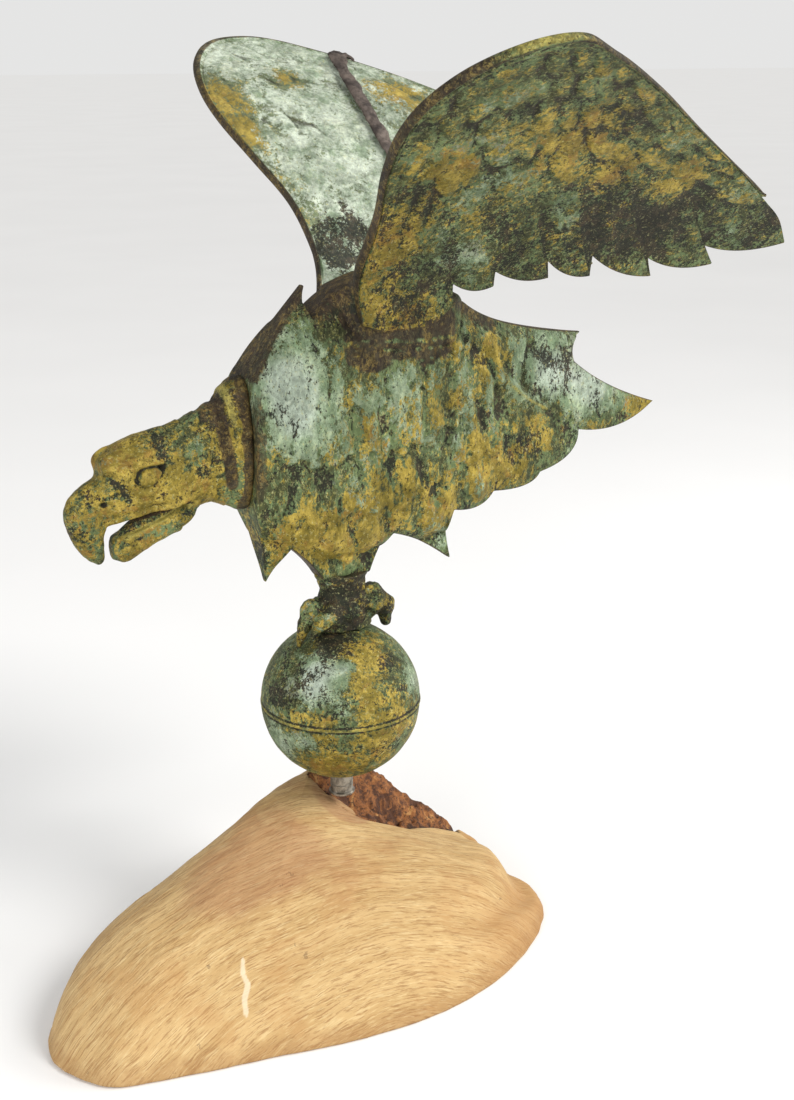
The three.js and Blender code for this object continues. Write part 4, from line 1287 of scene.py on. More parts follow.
    def build(self, finish: bpy.types.Material) -> None:
        """Makes the skull and jaw, opens the mouth, melts them together and dresses them.

        Args:
            finish: their material.
        """
        skull = self.loft(self.sections, 230, 120)
        x, z = skull.points[:, 0], skull.points[:, 2]
        lip = stops(self.lip_line[:2], x)
        mouth = (x < -103) & (z < lip)
        ahead = x - self.mouth_end
        behind = mouth & (ahead > 0) & (lip - z > ahead) & (x < -146)
        skull.points[:, 2] = np.where(mouth & (ahead > 0) & ~behind, lip, z)
        skull.points[:, 0] = np.where(behind, self.mouth_end, x)
        joined = Skin(placed(skull.points), skull.faces)
        for sections in (self.jaw, self.tongue):
            part = self.loft(sections, 120, 90)
            joined = joined.joined(Skin(placed(part.points), part.faces))
        mesh = fused(joined, "eagle_head", self.grain, 3)
        points = local_mm(mesh)
        height, relief = self.relief(points, vectors(mesh, "normal"))
        x, z = points[:, 0], points[:, 2]
        below_lip, over_jaw = stops(self.lip_line, x) - z, z - stops(self.jaw_line, x)
        inside = ease(below_lip, -1.2, 0.2) * ease(over_jaw, -2.2, 0.4)
        inside *= window(x, -149, -147, -104, -99)
        torn = 1 - ease(-x + 2.0 * lumps(points, 7, seed=75), 68, 71)
        bands = np.maximum(stroke(x, z, ((-81, 214), (-79.5, 185), (-75, 156)), 4.2), torn)
        ridge = stroke(x, z, ((-75.5, 217), (-73, 190), (-72, 172)), 2.8) * ease(z, 176, 200)
        jaw_ridge = stroke(x, z, ((-139, 132), (-126, 137), (-115, 140.8), (-102, 147.5)), 1.3)
        top = 0.45 * ease(z, 184, 200) * ease(x, -110, -96)
        soiled = np.clip(np.maximum(bands, top) * (1 - ridge), 0, 1)
        # Painted shade in the open mouth: darkest just under the upper beak and fading down toward
        # the jaw. The relief mark is lowered inside the mouth too, which darkens it further.
        deep = inside * (0.2 + 0.9 * ease(-below_lip, -4.5, -1.5))
        marks = {
            "relief": relief * (1 - (0.45 + 0.4 * ease(over_jaw, 0, 6)) * inside),
            "umber": np.maximum(soiled, deep),
            # pale: painted highlight along the neck ridge and the jaw ridge.
            "pale": np.maximum(0.6 * ridge, 0.95 * jaw_ridge),
        }
        embossed(mesh, height * MM * (1 - inside))
        store(mesh, marks)
        zone_marks(mesh, "head")
        piece("eagle_head", mesh, finish, "gilt_casting", "head")


@dataclass
class Legs:
    """The leg column and its toes, hooked over the ball."""

    grain: float = 0.58 * MM
    clear: float = 51.15
    levels: Knots = (
        (19, -16, 14, 86), (17.5, -14, 12.5, 80), (17, -13, 12, 74), (19, -14, 12.5, 68),
        (21, -17, 14, 60), (21, -17, 14, 50),
    )
    toes: tuple[tuple[Knots, tuple[float, ...]], ...] = (
        (((-8, 0, 64), (-20, -1, 62.5), (-26, -2, 54), (-31, -3, 41)), (8, 6.8, 4.4, 1.3)),
        (((-2, -5, 60), (-12, -9, 60), (-20, -11, 57), (-25, -11, 48.5)), (10, 7.5, 4.8, 1.3)),
        (((0, 5, 60), (-8, 11, 59), (-14, 15, 55), (-18, 16, 48)), (10, 7.5, 4.8, 1.3)),
        (((8, -2, 66), (21, -3, 64), (29.5, -3, 58), (32, -3, 45)), (10, 11, 7.5, 2.0)),
    )

    def build(self, finish: bpy.types.Material) -> None:
        """Makes ovals down the leg and horns along the toes, melts them together and dresses them.

        Formula: a toe is a tube whose radius follows its sizes with a swell at each joint.

        Args:
            finish: their material.
        """
        rows = smooth_curve(self.levels, np.linspace(0, 1, 60))
        route = np.stack([(rows[:, 0] + rows[:, 1]) / 2, 0 * rows[:, 0], rows[:, 3]], axis=-1)
        ahead, beside = (np.broadcast_to(np.eye(3)[k], route.shape) for k in (0, 1))
        skin = tube(route, ahead, beside, (rows[:, 0] - rows[:, 1]) / 2, rows[:, 2], 48)
        for knots, sizes in self.toes:
            run = np.linspace(0, 1, 70)
            centre = smooth_curve(knots, run)
            across, over = along_frames(centre, (0, 1, 0.05))
            size = np.interp(run, np.linspace(0, 1, len(sizes)), sizes)
            knuckles = 1 + 0.09 * np.cos(run * 2 * math.pi * 3)
            size = size * knuckles * (1 - 0.75 * ease(run, 0.97, 1))
            skin = skin.joined(tube(centre, across, over, size, size, 40))
        skin.points = placed(skin.points)
        mesh = fused(skin, "eagle_legs", self.grain, 2)
        points = local_mm(mesh)
        scutes = 0.5 * lumps(points * [1, 1, 2.2], 9, seed=81) * ease(points[:, 2], 58, 66)
        height = scutes + layered(points, ((0.8, 8, 82), (0.3, 2.6, 83)))
        embossed(mesh, height * MM)
        store(mesh, {"relief": 0.5 + 0.5 * height})
        points = vectors(mesh, "co") - CENTRE
        distance = np.linalg.norm(points, axis=1, keepdims=True)
        moved(mesh, points * np.maximum(self.clear * MM / distance, 1) + CENTRE)
        zone_marks(mesh, "legs")
        piece("eagle_legs", mesh, finish, "verdigris_copper", "legs")


@dataclass
class Brace:
    """The rough forged strap up the inner face of the right wing, with a bent prong on top."""

    wing: Wing
    along: float = 79.0
    width: float = 10.2
    thick: float = 3.4
    top: float = 185.0
    foot: float = 14.0
    stand_off: float = 6.3
    grain: float = 0.6 * MM

    def build(self, finish: bpy.types.Material) -> None:
        """Makes the strap as a tube of ovals along the wing's arch, and its prong.

        Args:
            finish: its material.
        """
        run = np.linspace(0, 1, 150)
        up = self.foot + (self.top - self.foot) * run
        sway = 1.4 * np.sin(run * 7.0) + 3.2 * ease(run, 0.9, 1.0) - hump(run, 0.86, 0.05)
        centre = self.wing.place(self.along + sway, up, np.full(run.shape, self.stand_off))
        over, across = along_frames(centre, (1, 0, 0))
        shape = 0.86 + 0.12 * run + 0.32 * hump(run, 0.965, 0.035) - 0.2 * hump(run, 0.88, 0.03)
        wide = self.width / 2 * shape * (1 - 0.6 * ease(run, 0.985, 1))
        thick = self.thick / 2 * (1 - 0.3 * ease(run, 0.985, 1))
        strap = tube(centre, across, over, wide, thick, 40)
        prong_up = np.array([172.0, 178, 181, 178.5, 174])
        prong_along = self.along + np.array([3.0, 5, 9.5, 12.2, 12.8])
        prong_at = self.wing.place(prong_along, prong_up, np.full(5, self.stand_off))
        prong = smooth_curve(tuple(map(tuple, prong_at)), np.linspace(0, 1, 40))
        one, two = along_frames(prong, (0, 0.6, 0.8))
        size = np.interp(np.linspace(0, 1, 40), [0, 0.5, 1], [3.0, 2.3, 1.3])
        skin = strap.joined(tube(prong, one, two, size, size * 0.8, 24))
        skin.points = placed(skin.points)
        mesh = fused(skin, "forged_brace", self.grain, 2)
        points = local_mm(mesh)
        pits = layered(points, ((0.75, 7, 91), (0.4, 2.4, 92)))
        embossed(mesh, pits * MM)
        store(mesh, {"relief": 0.5 + 0.5 * pits})
        piece("forged_brace", mesh, finish, "dark_iron", "wing_brace")


MOST_TINT = 2.2

# Where each tint of the patina gathers, in millimetres about the ball's centre: x, y, z, the
# reach, and the strength. Blobs with a y of 0 take in both sides.
ZONES: dict[str, dict[str, Knots]] = {
    "body": {
        "gold": (
            (-38, 0, 118, 20, 0.7), (-10, 0, 112, 22, 0.7), (22, 0, 116, 18, 0.5),
            (64, 0, 122, 22, 0.5), (112, 0, 140, 20, 0.8), (142, 0, 158, 20, 0.7),
            (98, 0, 214, 12, 0.7), (232, 0, 168, 16, 0.8), (30, 0, 150, 18, 0.4),
            (-8, 0, 262, 14, 0.8), (190, 0, 158, 12, 0.5), (60, 0, 190, 12, 0.5),
            (5, 0, 178, 10, 0.4), (84, 0, 158, 12, 0.5), (-52, 0, 168, 10, 0.3),
        ),
        "mint": (
            (-42, 0, 215, 24, 1.6), (-36, 0, 188, 18, 1.1), (16, 0, 202, 16, 0.3),
            (45, 0, 200, 16, 0.2), (150, 0, 198, 26, 1.5), (188, 0, 182, 20, 1.5),
            (70, 0, 100, 14, 0.7), (70, 0, 168, 16, 0.4), (166, 0, 140, 12, 0.4),
            (-12, 0, 150, 14, 0.3), (120, 0, 215, 12, 0.4),
        ),
        "dark": (
            (-2, 0, 252, 16, 0.7), (82, 0, 222, 16, 0.6), (-56, 0, 110, 14, 0.4),
            (-26, 0, 260, 10, 0.5), (0, 0, 130, 14, 0.5), (44, 0, 140, 14, 0.5),
            (90, 0, 180, 14, 0.5), (-20, 0, 205, 10, 0.4), (30, 0, 92, 14, 0.7),
        ),
    },
    "wing": {
        "gold": (
            (5, -60, 290, 24, 1.2), (0, -45, 255, 18, 1.0), (28, -85, 330, 18, 0.9),
            (95, -100, 345, 20, 1.0), (135, -90, 325, 18, 1.0), (-15, -110, 370, 14, 0.8),
            (190, -85, 318, 18, 0.8), (240, -70, 290, 14, 0.5), (60, -60, 300, 14, 0.7),
            (60, -110, 365, 16, 0.6), (100, -112, 372, 22, 0.5), (22, -32, 243, 20, 1.0),
            (48, -32, 243, 16, 0.8), (-20, 122, 366, 24, 1.3), (-12, 100, 338, 18, 1.25),
            (-2, 76, 310, 15, 1.2), (4, 58, 290, 14, 1.2), (112, 118, 366, 22, 1.15),
            (76, 112, 352, 10, 0.9), (36, 130, 380, 14, 1.2), (30, 70, 305, 9, 0.7),
        ),
        "mint": (
            (40, -60, 300, 24, 0.5), (60, -50, 272, 24, 0.9), (52, -85, 330, 24, 0.6),
            (225, -75, 300, 26, 0.4), (180, -100, 350, 26, 0.2), (120, -70, 300, 18, 0.5),
            (30, -110, 365, 20, 0.5), (265, -60, 285, 20, 0.6),
        ),
        "dark": (
            (150, -65, 285, 30, 1.3), (195, -65, 278, 22, 1.0), (95, -50, 268, 16, 0.7),
            (110, -115, 370, 20, 0.6), (40, -115, 385, 18, 0.5), (280, -60, 290, 16, 0.6),
            (222, -78, 308, 20, 0.4), (170, -115, 375, 20, 0.4), (80, -95, 325, 14, 0.5),
            (18, 42, 276, 22, 2.2), (40, 46, 268, 18, 1.8), (30, 50, 290, 16, 1.6),
            (20, -70, 310, 12, 0.5),
        ),
    },
    "ball": {
        "gold": (
            (-1, -48, 16, 11, 1.0), (-33, -39, 5, 10, 0.8), (1, -49, -12, 13, 1.1),
            (4, -31, 40, 14, 0.9), (-25, -31, -31, 20, 1.0), (20, -44, 4, 14, 0.5),
            (40, -20, -20, 16, 0.8), (-44, -26, 4, 9, 0.6), (-10, -44, 26, 9, 0.6),
            (30, 30, 0, 26, 0.7), (-30, 30, -20, 22, 0.7), (20, -20, -42, 16, 0.7),
        ),
        "mint": (
            (-30, -25, 33, 13, 1.3), (-14, -34, 35, 8, 0.9), (-47, -9, -18, 14, 1.0),
            (-40, -30, -10, 10, 0.9), (-22, -42, 18, 8, 0.6), (34, -34, 17, 14, 0.9),
            (-36, -30, 20, 12, 0.8), (4, -46, 20, 5, 0.5), (0, 40, 20, 26, 0.8),
            (14, -46, -16, 7, 0.5), (0, 20, 45, 18, 0.4),
        ),
        "dark": (
            (-45, -14, 18, 12, 0.8), (-22, -43, 12, 7, 0.7), (-13, -17, 46, 14, 1.3),
            (16, -34, 34, 9, 0.5), (-30, -38, -8, 8, 0.4), (30, -30, -24, 10, 0.4),
            (8, -47, 2, 8, 0.5),
        ),
    },
    "legs": {
        "gold": (
            (-30, 0, 46, 7, 1.2), (25, -6, 62, 7, 1.2), (-17, -11, 56, 5, 0.7),
            (0, -10, 48, 6, 0.8), (-2, 0, 84, 7, 0.4),
        ),
        "mint": ((-19, -13, 54, 5, 1.0), (16, -8, 58, 5, 0.9), (-14, -8, 80, 5, 0.6)),
        "dark": (
            (2, 0, 72, 14, 1.3), (-8, -6, 64, 8, 1.0), (33, 0, 52, 7, 1.1), (30, 0, 68, 6, 0.7),
        ),
    },
    "head": {
        "gold": (
            (-150, 0, 152, 14, 0.6), (-118, 0, 158, 18, 0.7), (-138, 0, 182, 12, 0.8),
            (-100, 0, 158, 16, 0.6), (-68, 0, 190, 18, 0.6), (-130, 0, 126, 12, 0.7),
            (-128, 0, 152, 10, 0.6), (-86, 0, 150, 10, 0.5),
        ),
        "mint": (
            (-149, 0, 162, 5, 1.1), (-118, 0, 133, 12, 0.6), (-96, 0, 182, 14, 0.7),
            (-80, 0, 150, 12, 0.7), (-110, 0, 178, 12, 0.5), (-90, 0, 200, 10, 0.4),
        ),
        "dark": (
            (-84, 0, 192, 14, 0.8), (-84, 0, 165, 12, 0.6), (-75, 0, 205, 10, 0.5),
            (-168, 0, 138, 9, 0.8), (-140, 0, 163, 6, 0.6), (-118, 0, 188, 12, 0.6),
            (-100, 0, 140, 8, 0.5), (-160, 0, 160, 7, 0.5),
        ),
    },
}


def zone_marks(mesh: bpy.types.Mesh, kind: str) -> None:
    """Stores how strongly each tint gathers at each point: a sum of bells about the zones.

    Args:
        mesh: the mesh to mark.
        kind: which table of zones to read.
    """
    points = local_mm(mesh)
    totals = {}
    for tint, blobs in ZONES[kind].items():
        total = np.zeros(len(points))
        for x, y, z, reach, strength in blobs:
            apart = (points[:, 0] - x) ** 2 + (points[:, 2] - z) ** 2
            if y:
                apart += (points[:, 1] - y) ** 2
            total += strength * np.exp(-apart / reach**2)
        totals[tint] = np.clip(total, 0, MOST_TINT)
    store(mesh, totals)


# Materials


def tone(red: int, green: int, blue: int) -> tuple[float, float, float, float]:
    """A colour from 0 to 255 on a screen as linear light, ((c + 0.055) / 1.055)^2.4."""
    parts = [part / 255 for part in (red, green, blue)]
    linear = [((c + 0.055) / 1.055) ** 2.4 if c > 0.04045 else c / 12.92 for c in parts]
    return (*linear, 1.0)


WHITE = tone(255, 255, 255)
Socket = bpy.types.NodeSocket
Value = Socket | float | tuple[float, ...]


class Sketch:
    """Adds nodes to one tree with short calls."""

    def __init__(self, tree: bpy.types.NodeTree) -> None:
        """Keeps the tree."""
        self.tree = tree

    def add(self, kind: str, **settings: object) -> bpy.types.Node:
        """A new node of a kind, with its settings."""
        node = self.tree.nodes.new("ShaderNode" + kind)
        for name, value in settings.items():
            setattr(node, name, value)
        return node

    def feed(self, socket: Socket, value: Value) -> None:
        """Links a socket, or sets its plain value."""
        if isinstance(value, Socket):
            self.tree.links.new(value, socket)
        else:
            socket.default_value = value

    def mark(self, name: str) -> Socket:
        """The numbers stored at the points under a name."""
        return self.add("Attribute", attribute_name=name).outputs["Fac"]

    def noise(
        self, where: Value, size: float, detail: float = 3, rough: float = 0.55, swirl: float = 0.0
    ) -> Socket:
        """Fractal noise from 0 to 1.

        Args:
            where: the place to read it at.
            size: how many metres across its lumps are, about.
            detail: how many finer layers it has.
            rough: strength of each layer as a share of the one before.
            swirl: how far it is twisted.

        Returns:
            The noise.
        """
        node = self.add("TexNoise", noise_dimensions="3D")
        self.feed(node.inputs["Vector"], where)
        values = {"Scale": 1 / size, "Detail": detail, "Roughness": rough, "Distortion": swirl}
        for name, value in values.items():
            node.inputs[name].default_value = value
        return node.outputs["Fac"]

    def shifted(self, place: Value, by: float) -> Socket:
        """The place moved by a fixed step, so that two noises differ."""
        node = self.add("VectorMath", operation="ADD")
        self.feed(node.inputs[0], place)
        node.inputs[1].default_value = (by, 1.3 * by, -0.7 * by)
        return node.outputs[0]

    def maths(self, kind: str, *values: Value) -> Socket:
        """One arithmetic step on numbers."""
        node = self.add("Math", operation=kind)
        for socket, value in zip(node.inputs, values):
            self.feed(socket, value)
        return node.outputs[0]

    def total(self, *parts: tuple[Value, float]) -> Socket:
        """The sum of value times weight over the parts."""
        result: Value = 0.0
        for value, weight in parts:
            result = self.maths("MULTIPLY_ADD", value, weight, result)
        return result

    def step(self, value: Value, low: float, high: float) -> Socket:
        """A smooth step.

        Args:
            value: where to read the step.
            low: value at which it is 0.
            high: value at which it is 1, which may be the smaller one.

        Returns:
            Numbers from 0 to 1.
        """
        node = self.add("MapRange", interpolation_type="SMOOTHSTEP")
        self.feed(node.inputs["Value"], value)
        node.inputs["From Min"].default_value = low
        node.inputs["From Max"].default_value = high
        return node.outputs["Result"]

    def mix(self, share: Value, first: Value, second: Value, kind: str = "MIX") -> Socket:
        """Two colours blended by share.

        Args:
            share: 0 for the first colour and 1 for the second.
            first: one colour.
            second: the other colour.
            kind: Blender's name for the way of blending.

        Returns:
            The blended colour.
        """
        node = self.add("Mix", data_type="RGBA", blend_type=kind)
        self.feed(node.inputs["Factor"], share)
        self.feed(node.inputs[6], first)
        self.feed(node.inputs[7], second)
        return node.outputs[2]

    def laid(self, colour: Value, share: Value, weight: Value, paint: Value) -> Socket:
        """The colour with paint laid over it, by share times weight."""
        return self.mix(self.maths("MULTIPLY", share, weight), colour, paint)


def effect(
    name: str, inputs: dict[str, float | None], outputs: dict[str, str]
) -> tuple[bpy.types.NodeTree, Sketch, dict[str, Socket], bpy.types.Node]:
    """Starts a shader node group.

    Args:
        name: the group's name.
        inputs: input names with their defaults, or None for a place.
        outputs: output names with "Color" or "Float".

    Returns:
        The group, a sketch on it, its input sockets and its output node.
    """
    tree = bpy.data.node_groups.new(name, "ShaderNodeTree")
    for label, value in inputs.items():
        kind = "NodeSocketVector" if value is None else "NodeSocketFloat"
        socket = tree.interface.new_socket(label, in_out="INPUT", socket_type=kind)
        if value is not None:
            socket.default_value = value
    for label, kind in outputs.items():
        tree.interface.new_socket(label, in_out="OUTPUT", socket_type="NodeSocket" + kind)
    start, end = tree.nodes.new("NodeGroupInput"), tree.nodes.new("NodeGroupOutput")
    given = {socket.name: socket for socket in start.outputs if socket.name}
    return tree, Sketch(tree), given, end


def patina_effect() -> bpy.types.NodeTree:
    """Weathered gilt copper, as a shared shader group.

    An olive and green ground carries worn gold, pale verdigris, dark patches and specks.

    Returns:
        The group. Its inputs are the place, the height of the relief from 0 to 1, and how
        strongly each tint gathers.
    """
    tints = ("Gold", "Mint", "Dark", "Relief", "Bright", "Umber", "Pale")
    names = {"Place": None} | {tint: 0.5 if tint == "Relief" else 0.0 for tint in tints}
    outputs = {"Color": "Color", "Roughness": "Float", "Metallic": "Float", "Height": "Float"}
    tree, ink, given, end = effect("patina", names, outputs)
    place, relief = given["Place"], given["Relief"]
    broad = ink.noise(place, 0.030, 4, 0.6, 0.5)
    drift = ink.noise(ink.shifted(place, 1.7), 0.015, 7, 0.76, 0.5)
    patch = ink.noise(ink.shifted(place, 3.1), 0.009, 7, 0.78, 0.4)
    torn = ink.noise(ink.shifted(place, 4.4), 0.012, 7, 0.78, 0.3)
    grit = ink.noise(ink.shifted(place, 5.3), 0.0030, 5, 0.78, 0.3)
    sand = ink.noise(ink.shifted(place, 6.6), 0.0026, 4, 0.78, 0.3)
    dust = ink.noise(ink.shifted(place, 7.9), 0.0013, 3, 0.7)
    ground = ink.mix(ink.step(torn, 0.47, 0.53), tone(74, 78, 44), tone(108, 126, 84))
    ground = ink.mix(ink.step(sand, 0.54, 0.58), ground, tone(138, 138, 84))
    ground = ink.laid(ground, ink.step(drift, 0.50, 0.56), 0.8, tone(128, 148, 98))
    # Crests of the relief take more gold and verdigris and its hollows more dark patches: partly
    # patina, partly painted highlight and shade that show the relief.
    more_gold = (given["Gold"], 0.11), (given["Mint"], -0.03), (relief, 0.15)
    gold_at = ink.total((patch, 0.45), (grit, 0.35), (sand, 0.2), *more_gold)
    gold = ink.step(gold_at, 0.600, 0.622)
    gold_tone = ink.mix(ink.step(torn, 0.44, 0.58), tone(146, 128, 50), tone(196, 170, 76))
    gold_tone = ink.laid(gold_tone, ink.step(drift, 0.52, 0.6), 0.6, tone(160, 112, 48))
    # Bright is painted light: it lightens the gold, the ground and the verdigris, and further on it
    # thins the dark patches and specks.
    gold_tone = ink.laid(gold_tone, given["Bright"], 0.4, tone(208, 182, 96))
    ground = ink.laid(ground, given["Bright"], 0.5, tone(160, 172, 138))
    colour = ink.laid(ground, gold, 0.92, gold_tone)
    more_mint = (given["Mint"], 0.12), (given["Gold"], -0.14), (relief, 0.10)
    mint_at = ink.total((drift, 0.45), (sand, 0.35), (dust, 0.2), *more_mint)
    mint = ink.step(mint_at, 0.592, 0.618)
    mint_tone = ink.mix(ink.step(torn, 0.42, 0.58), tone(138, 160, 125), tone(180, 198, 166))
    mint_tone = ink.mix(ink.step(broad, 0.54, 0.64), mint_tone, tone(148, 156, 134))
    thick = ink.step(ink.total((given["Mint"], 1.0), (torn, 0.8)), 1.25, 1.9)
    mint_tone = ink.laid(mint_tone, thick, 0.75, tone(206, 218, 204))
    whiter = ink.step(torn, 0.40, 0.60)
    mint_tone = ink.laid(mint_tone, given["Bright"], whiter, tone(224, 234, 216))
    colour = ink.laid(colour, mint, 0.9, mint_tone)
    more_dark = (given["Dark"], 0.12), (relief, -0.25), (given["Bright"], -0.06), (1.0, 0.368)
    dark_at = ink.total((torn, 0.5), (grit, -0.3), (dust, 0.3), *more_dark)
    dark = ink.step(dark_at, 0.568, 0.592)
    dark_tone = ink.mix(ink.step(patch, 0.48, 0.56), tone(36, 34, 25), tone(68, 54, 39))
    colour = ink.laid(colour, dark, 0.92, dark_tone)
    # Darker in the relief's hollows: partly the patina gathered there, partly painted shade.
    hollow = ink.step(ink.total((relief, 1.0), (patch, 0.5)), 0.50, 0.22)
    colour = ink.laid(colour, hollow, 0.78, tone(48, 43, 30))
    umber_tone = ink.mix(ink.step(torn, 0.44, 0.56), tone(50, 37, 31), tone(80, 64, 48))
    rubbed = ink.step(ink.total((patch, 0.5), (sand, 0.5)), 0.51, 0.55)
    umber_tone = ink.mix(rubbed, umber_tone, tone(122, 102, 60))
    umber = ink.step(ink.total((given["Umber"], 1.0), (patch, 0.6), (sand, 0.5)), 0.85, 1.15)
    colour = ink.laid(colour, umber, 0.9, umber_tone)
    # Pale lays painted highlight lines along lips, ridges and rims.
    pale = ink.step(ink.total((given["Pale"], 1.0), (sand, 1.0)), 0.7, 1.1)
    colour = ink.laid(colour, pale, 0.85, tone(196, 182, 96))
    more_specks = (given["Dark"], 0.02), (given["Bright"], -0.05)
    speck_at = ink.total((dust, 0.55), (sand, 0.35), (patch, 0.3), *more_specks)
    speck = ink.step(speck_at, 0.664, 0.694)
    colour = ink.laid(colour, speck, 0.82, tone(36, 32, 23))
    fleck = ink.step(ink.noise(ink.shifted(place, 12.4), 0.0017, 4, 0.75), 0.585, 0.64)
    fleck_weight = ink.maths("MULTIPLY_ADD", umber, -0.45, 0.62)
    colour = ink.laid(colour, fleck, fleck_weight, tone(200, 198, 142))
    cloud_at = ink.step(ink.total((patch, 0.5), (broad, 0.5)), 0.42, 0.58)
    cloud = ink.mix(cloud_at, tone(206, 208, 204), WHITE)
    colour = ink.mix(1.0, colour, cloud, "MULTIPLY")
    shade = ink.mix(ink.step(grit, 0.35, 0.65), tone(200, 200, 200), WHITE)
    colour = ink.mix(1.0, colour, shade, "MULTIPLY")
    ink.feed(end.inputs["Color"], colour)
    bare = ink.maths("MULTIPLY", gold, ink.maths("SUBTRACT", 1.0, dark))
    ink.feed(end.inputs["Metallic"], ink.maths("MULTIPLY", bare, 0.3))
    dull = ink.total((1.0, 0.44), (grit, 0.3), (mint, 0.16), (gold, -0.06))
    ink.feed(end.inputs["Roughness"], dull)
    height = ink.total((grit, 0.8), (dust, 0.3), (mint, 0.25), (dark, -0.35), (patch, 0.5))
    ink.feed(end.inputs["Height"], height)
    return tree


def blank(name: str) -> tuple[bpy.types.Material, Sketch, bpy.types.Node, Socket]:
    """Starts a material.

    Args:
        name: its name.

    Returns:
        The material, a sketch on its tree, its Principled shader and the Object coordinates.
    """
    material = bpy.data.materials.new(name)
    material.use_nodes = True
    ink = Sketch(material.node_tree)
    shader = material.node_tree.nodes["Principled BSDF"]
    return material, ink, shader, ink.add("TexCoord").outputs["Object"]


def bumped(
    ink: Sketch, shader: bpy.types.Node, height: Socket, depth: float, strength: float
) -> None:
    """Feeds a height to the shader's normal.

    Args:
        ink: the sketch on the material's tree.
        shader: its Principled shader.
        height: the height, from 0 to 1.
        depth: what a height of 1 stands for, in metres.
        strength: how strongly it shows.
    """
    node = ink.add("Bump")
    node.inputs["Strength"].default_value = strength
    node.inputs["Distance"].default_value = depth
    ink.feed(node.inputs["Height"], height)
    ink.feed(shader.inputs["Normal"], node.outputs["Normal"])


@dataclass(frozen=True)
class Verdigris:
    """Patina over old gilding on one part of the bird."""

    name: str
    gold: float = 0.0
    mint: float = 0.0
    dark: float = 0.0
    bright: float = 0.0
    inner_mint: float = 0.0
    # Painted light on the inner faces, which face up to the lamps.
    inner_bright: float = 0.0
    edge_gold: float = 0.0
    upright: float = 1.0

    def make(self, effect_tree: bpy.types.NodeTree) -> bpy.types.Material:
        """Builds the material from the shared patina effect.

        Args:
            effect_tree: the shader group.

        Returns:
            The material.
        """
        material, ink, shader, place = blank(self.name)
        group = ink.add("Group", node_tree=effect_tree)
        drawn = ink.add("VectorMath", operation="MULTIPLY")
        ink.feed(drawn.inputs[0], place)
        drawn.inputs[1].default_value = (1.0, 1.0, self.upright)
        ink.feed(group.inputs["Place"], drawn.outputs[0])
        gathers = {
            "gold": (self.gold, 0.0, self.edge_gold),
            "mint": (self.mint, self.inner_mint, -0.6),
            "dark": (self.dark, -0.9 * self.inner_mint, 0.0),
        }
        inside, edge = ink.mark("inside"), ink.mark("edge")
        for tint, (plain, inner, rimmed) in gathers.items():
            parts = (ink.mark(tint), 1.0), (1.0, plain), (inside, inner), (edge, rimmed)
            ink.feed(group.inputs[tint.title()], ink.total(*parts))
        for mark in ("relief", "umber", "pale"):
            ink.feed(group.inputs[mark.title()], ink.mark(mark))
        ink.feed(group.inputs["Bright"], ink.total((1.0, self.bright), (inside, self.inner_bright)))
        ink.feed(shader.inputs["Base Color"], group.outputs["Color"])
        for output in ("Metallic", "Roughness"):
            ink.feed(shader.inputs[output], group.outputs[output])
        shader.inputs["Specular IOR Level"].default_value = 0.22
        bumped(ink, shader, group.outputs["Height"], 0.9 * MM, 0.85)
        return material


@dataclass(frozen=True)
class DullMetal:
    """Grey or dark metal, soiled and pitted."""

    name: str
    light: tuple[int, int, int]
    deep: tuple[int, int, int]
    metallic: float
    grain: float
    rough: float
    depth: float

    def make(self) -> bpy.types.Material:
        """Builds the material from broad stains and fine pits.

        Returns:
            The material.
        """
        material, ink, shader, place = blank(self.name)
        stain = ink.noise(place, self.grain, 5, 0.65, 0.4)
        pits = ink.noise(ink.shifted(place, 2.2), self.grain / 6, 4, 0.7)
        colour = ink.mix(ink.step(stain, 0.36, 0.64), tone(*self.deep), tone(*self.light))
        colour = ink.laid(colour, ink.step(pits, 0.56, 0.68), 0.6, tone(34, 28, 24))
        ink.feed(shader.inputs["Base Color"], colour)
        shader.inputs["Metallic"].default_value = self.metallic
        ink.feed(shader.inputs["Roughness"], ink.total((1.0, self.rough), (pits, 0.3)))
        bumped(ink, shader, ink.total((stain, 0.4), (pits, 0.6)), self.depth, 0.8)
        return material


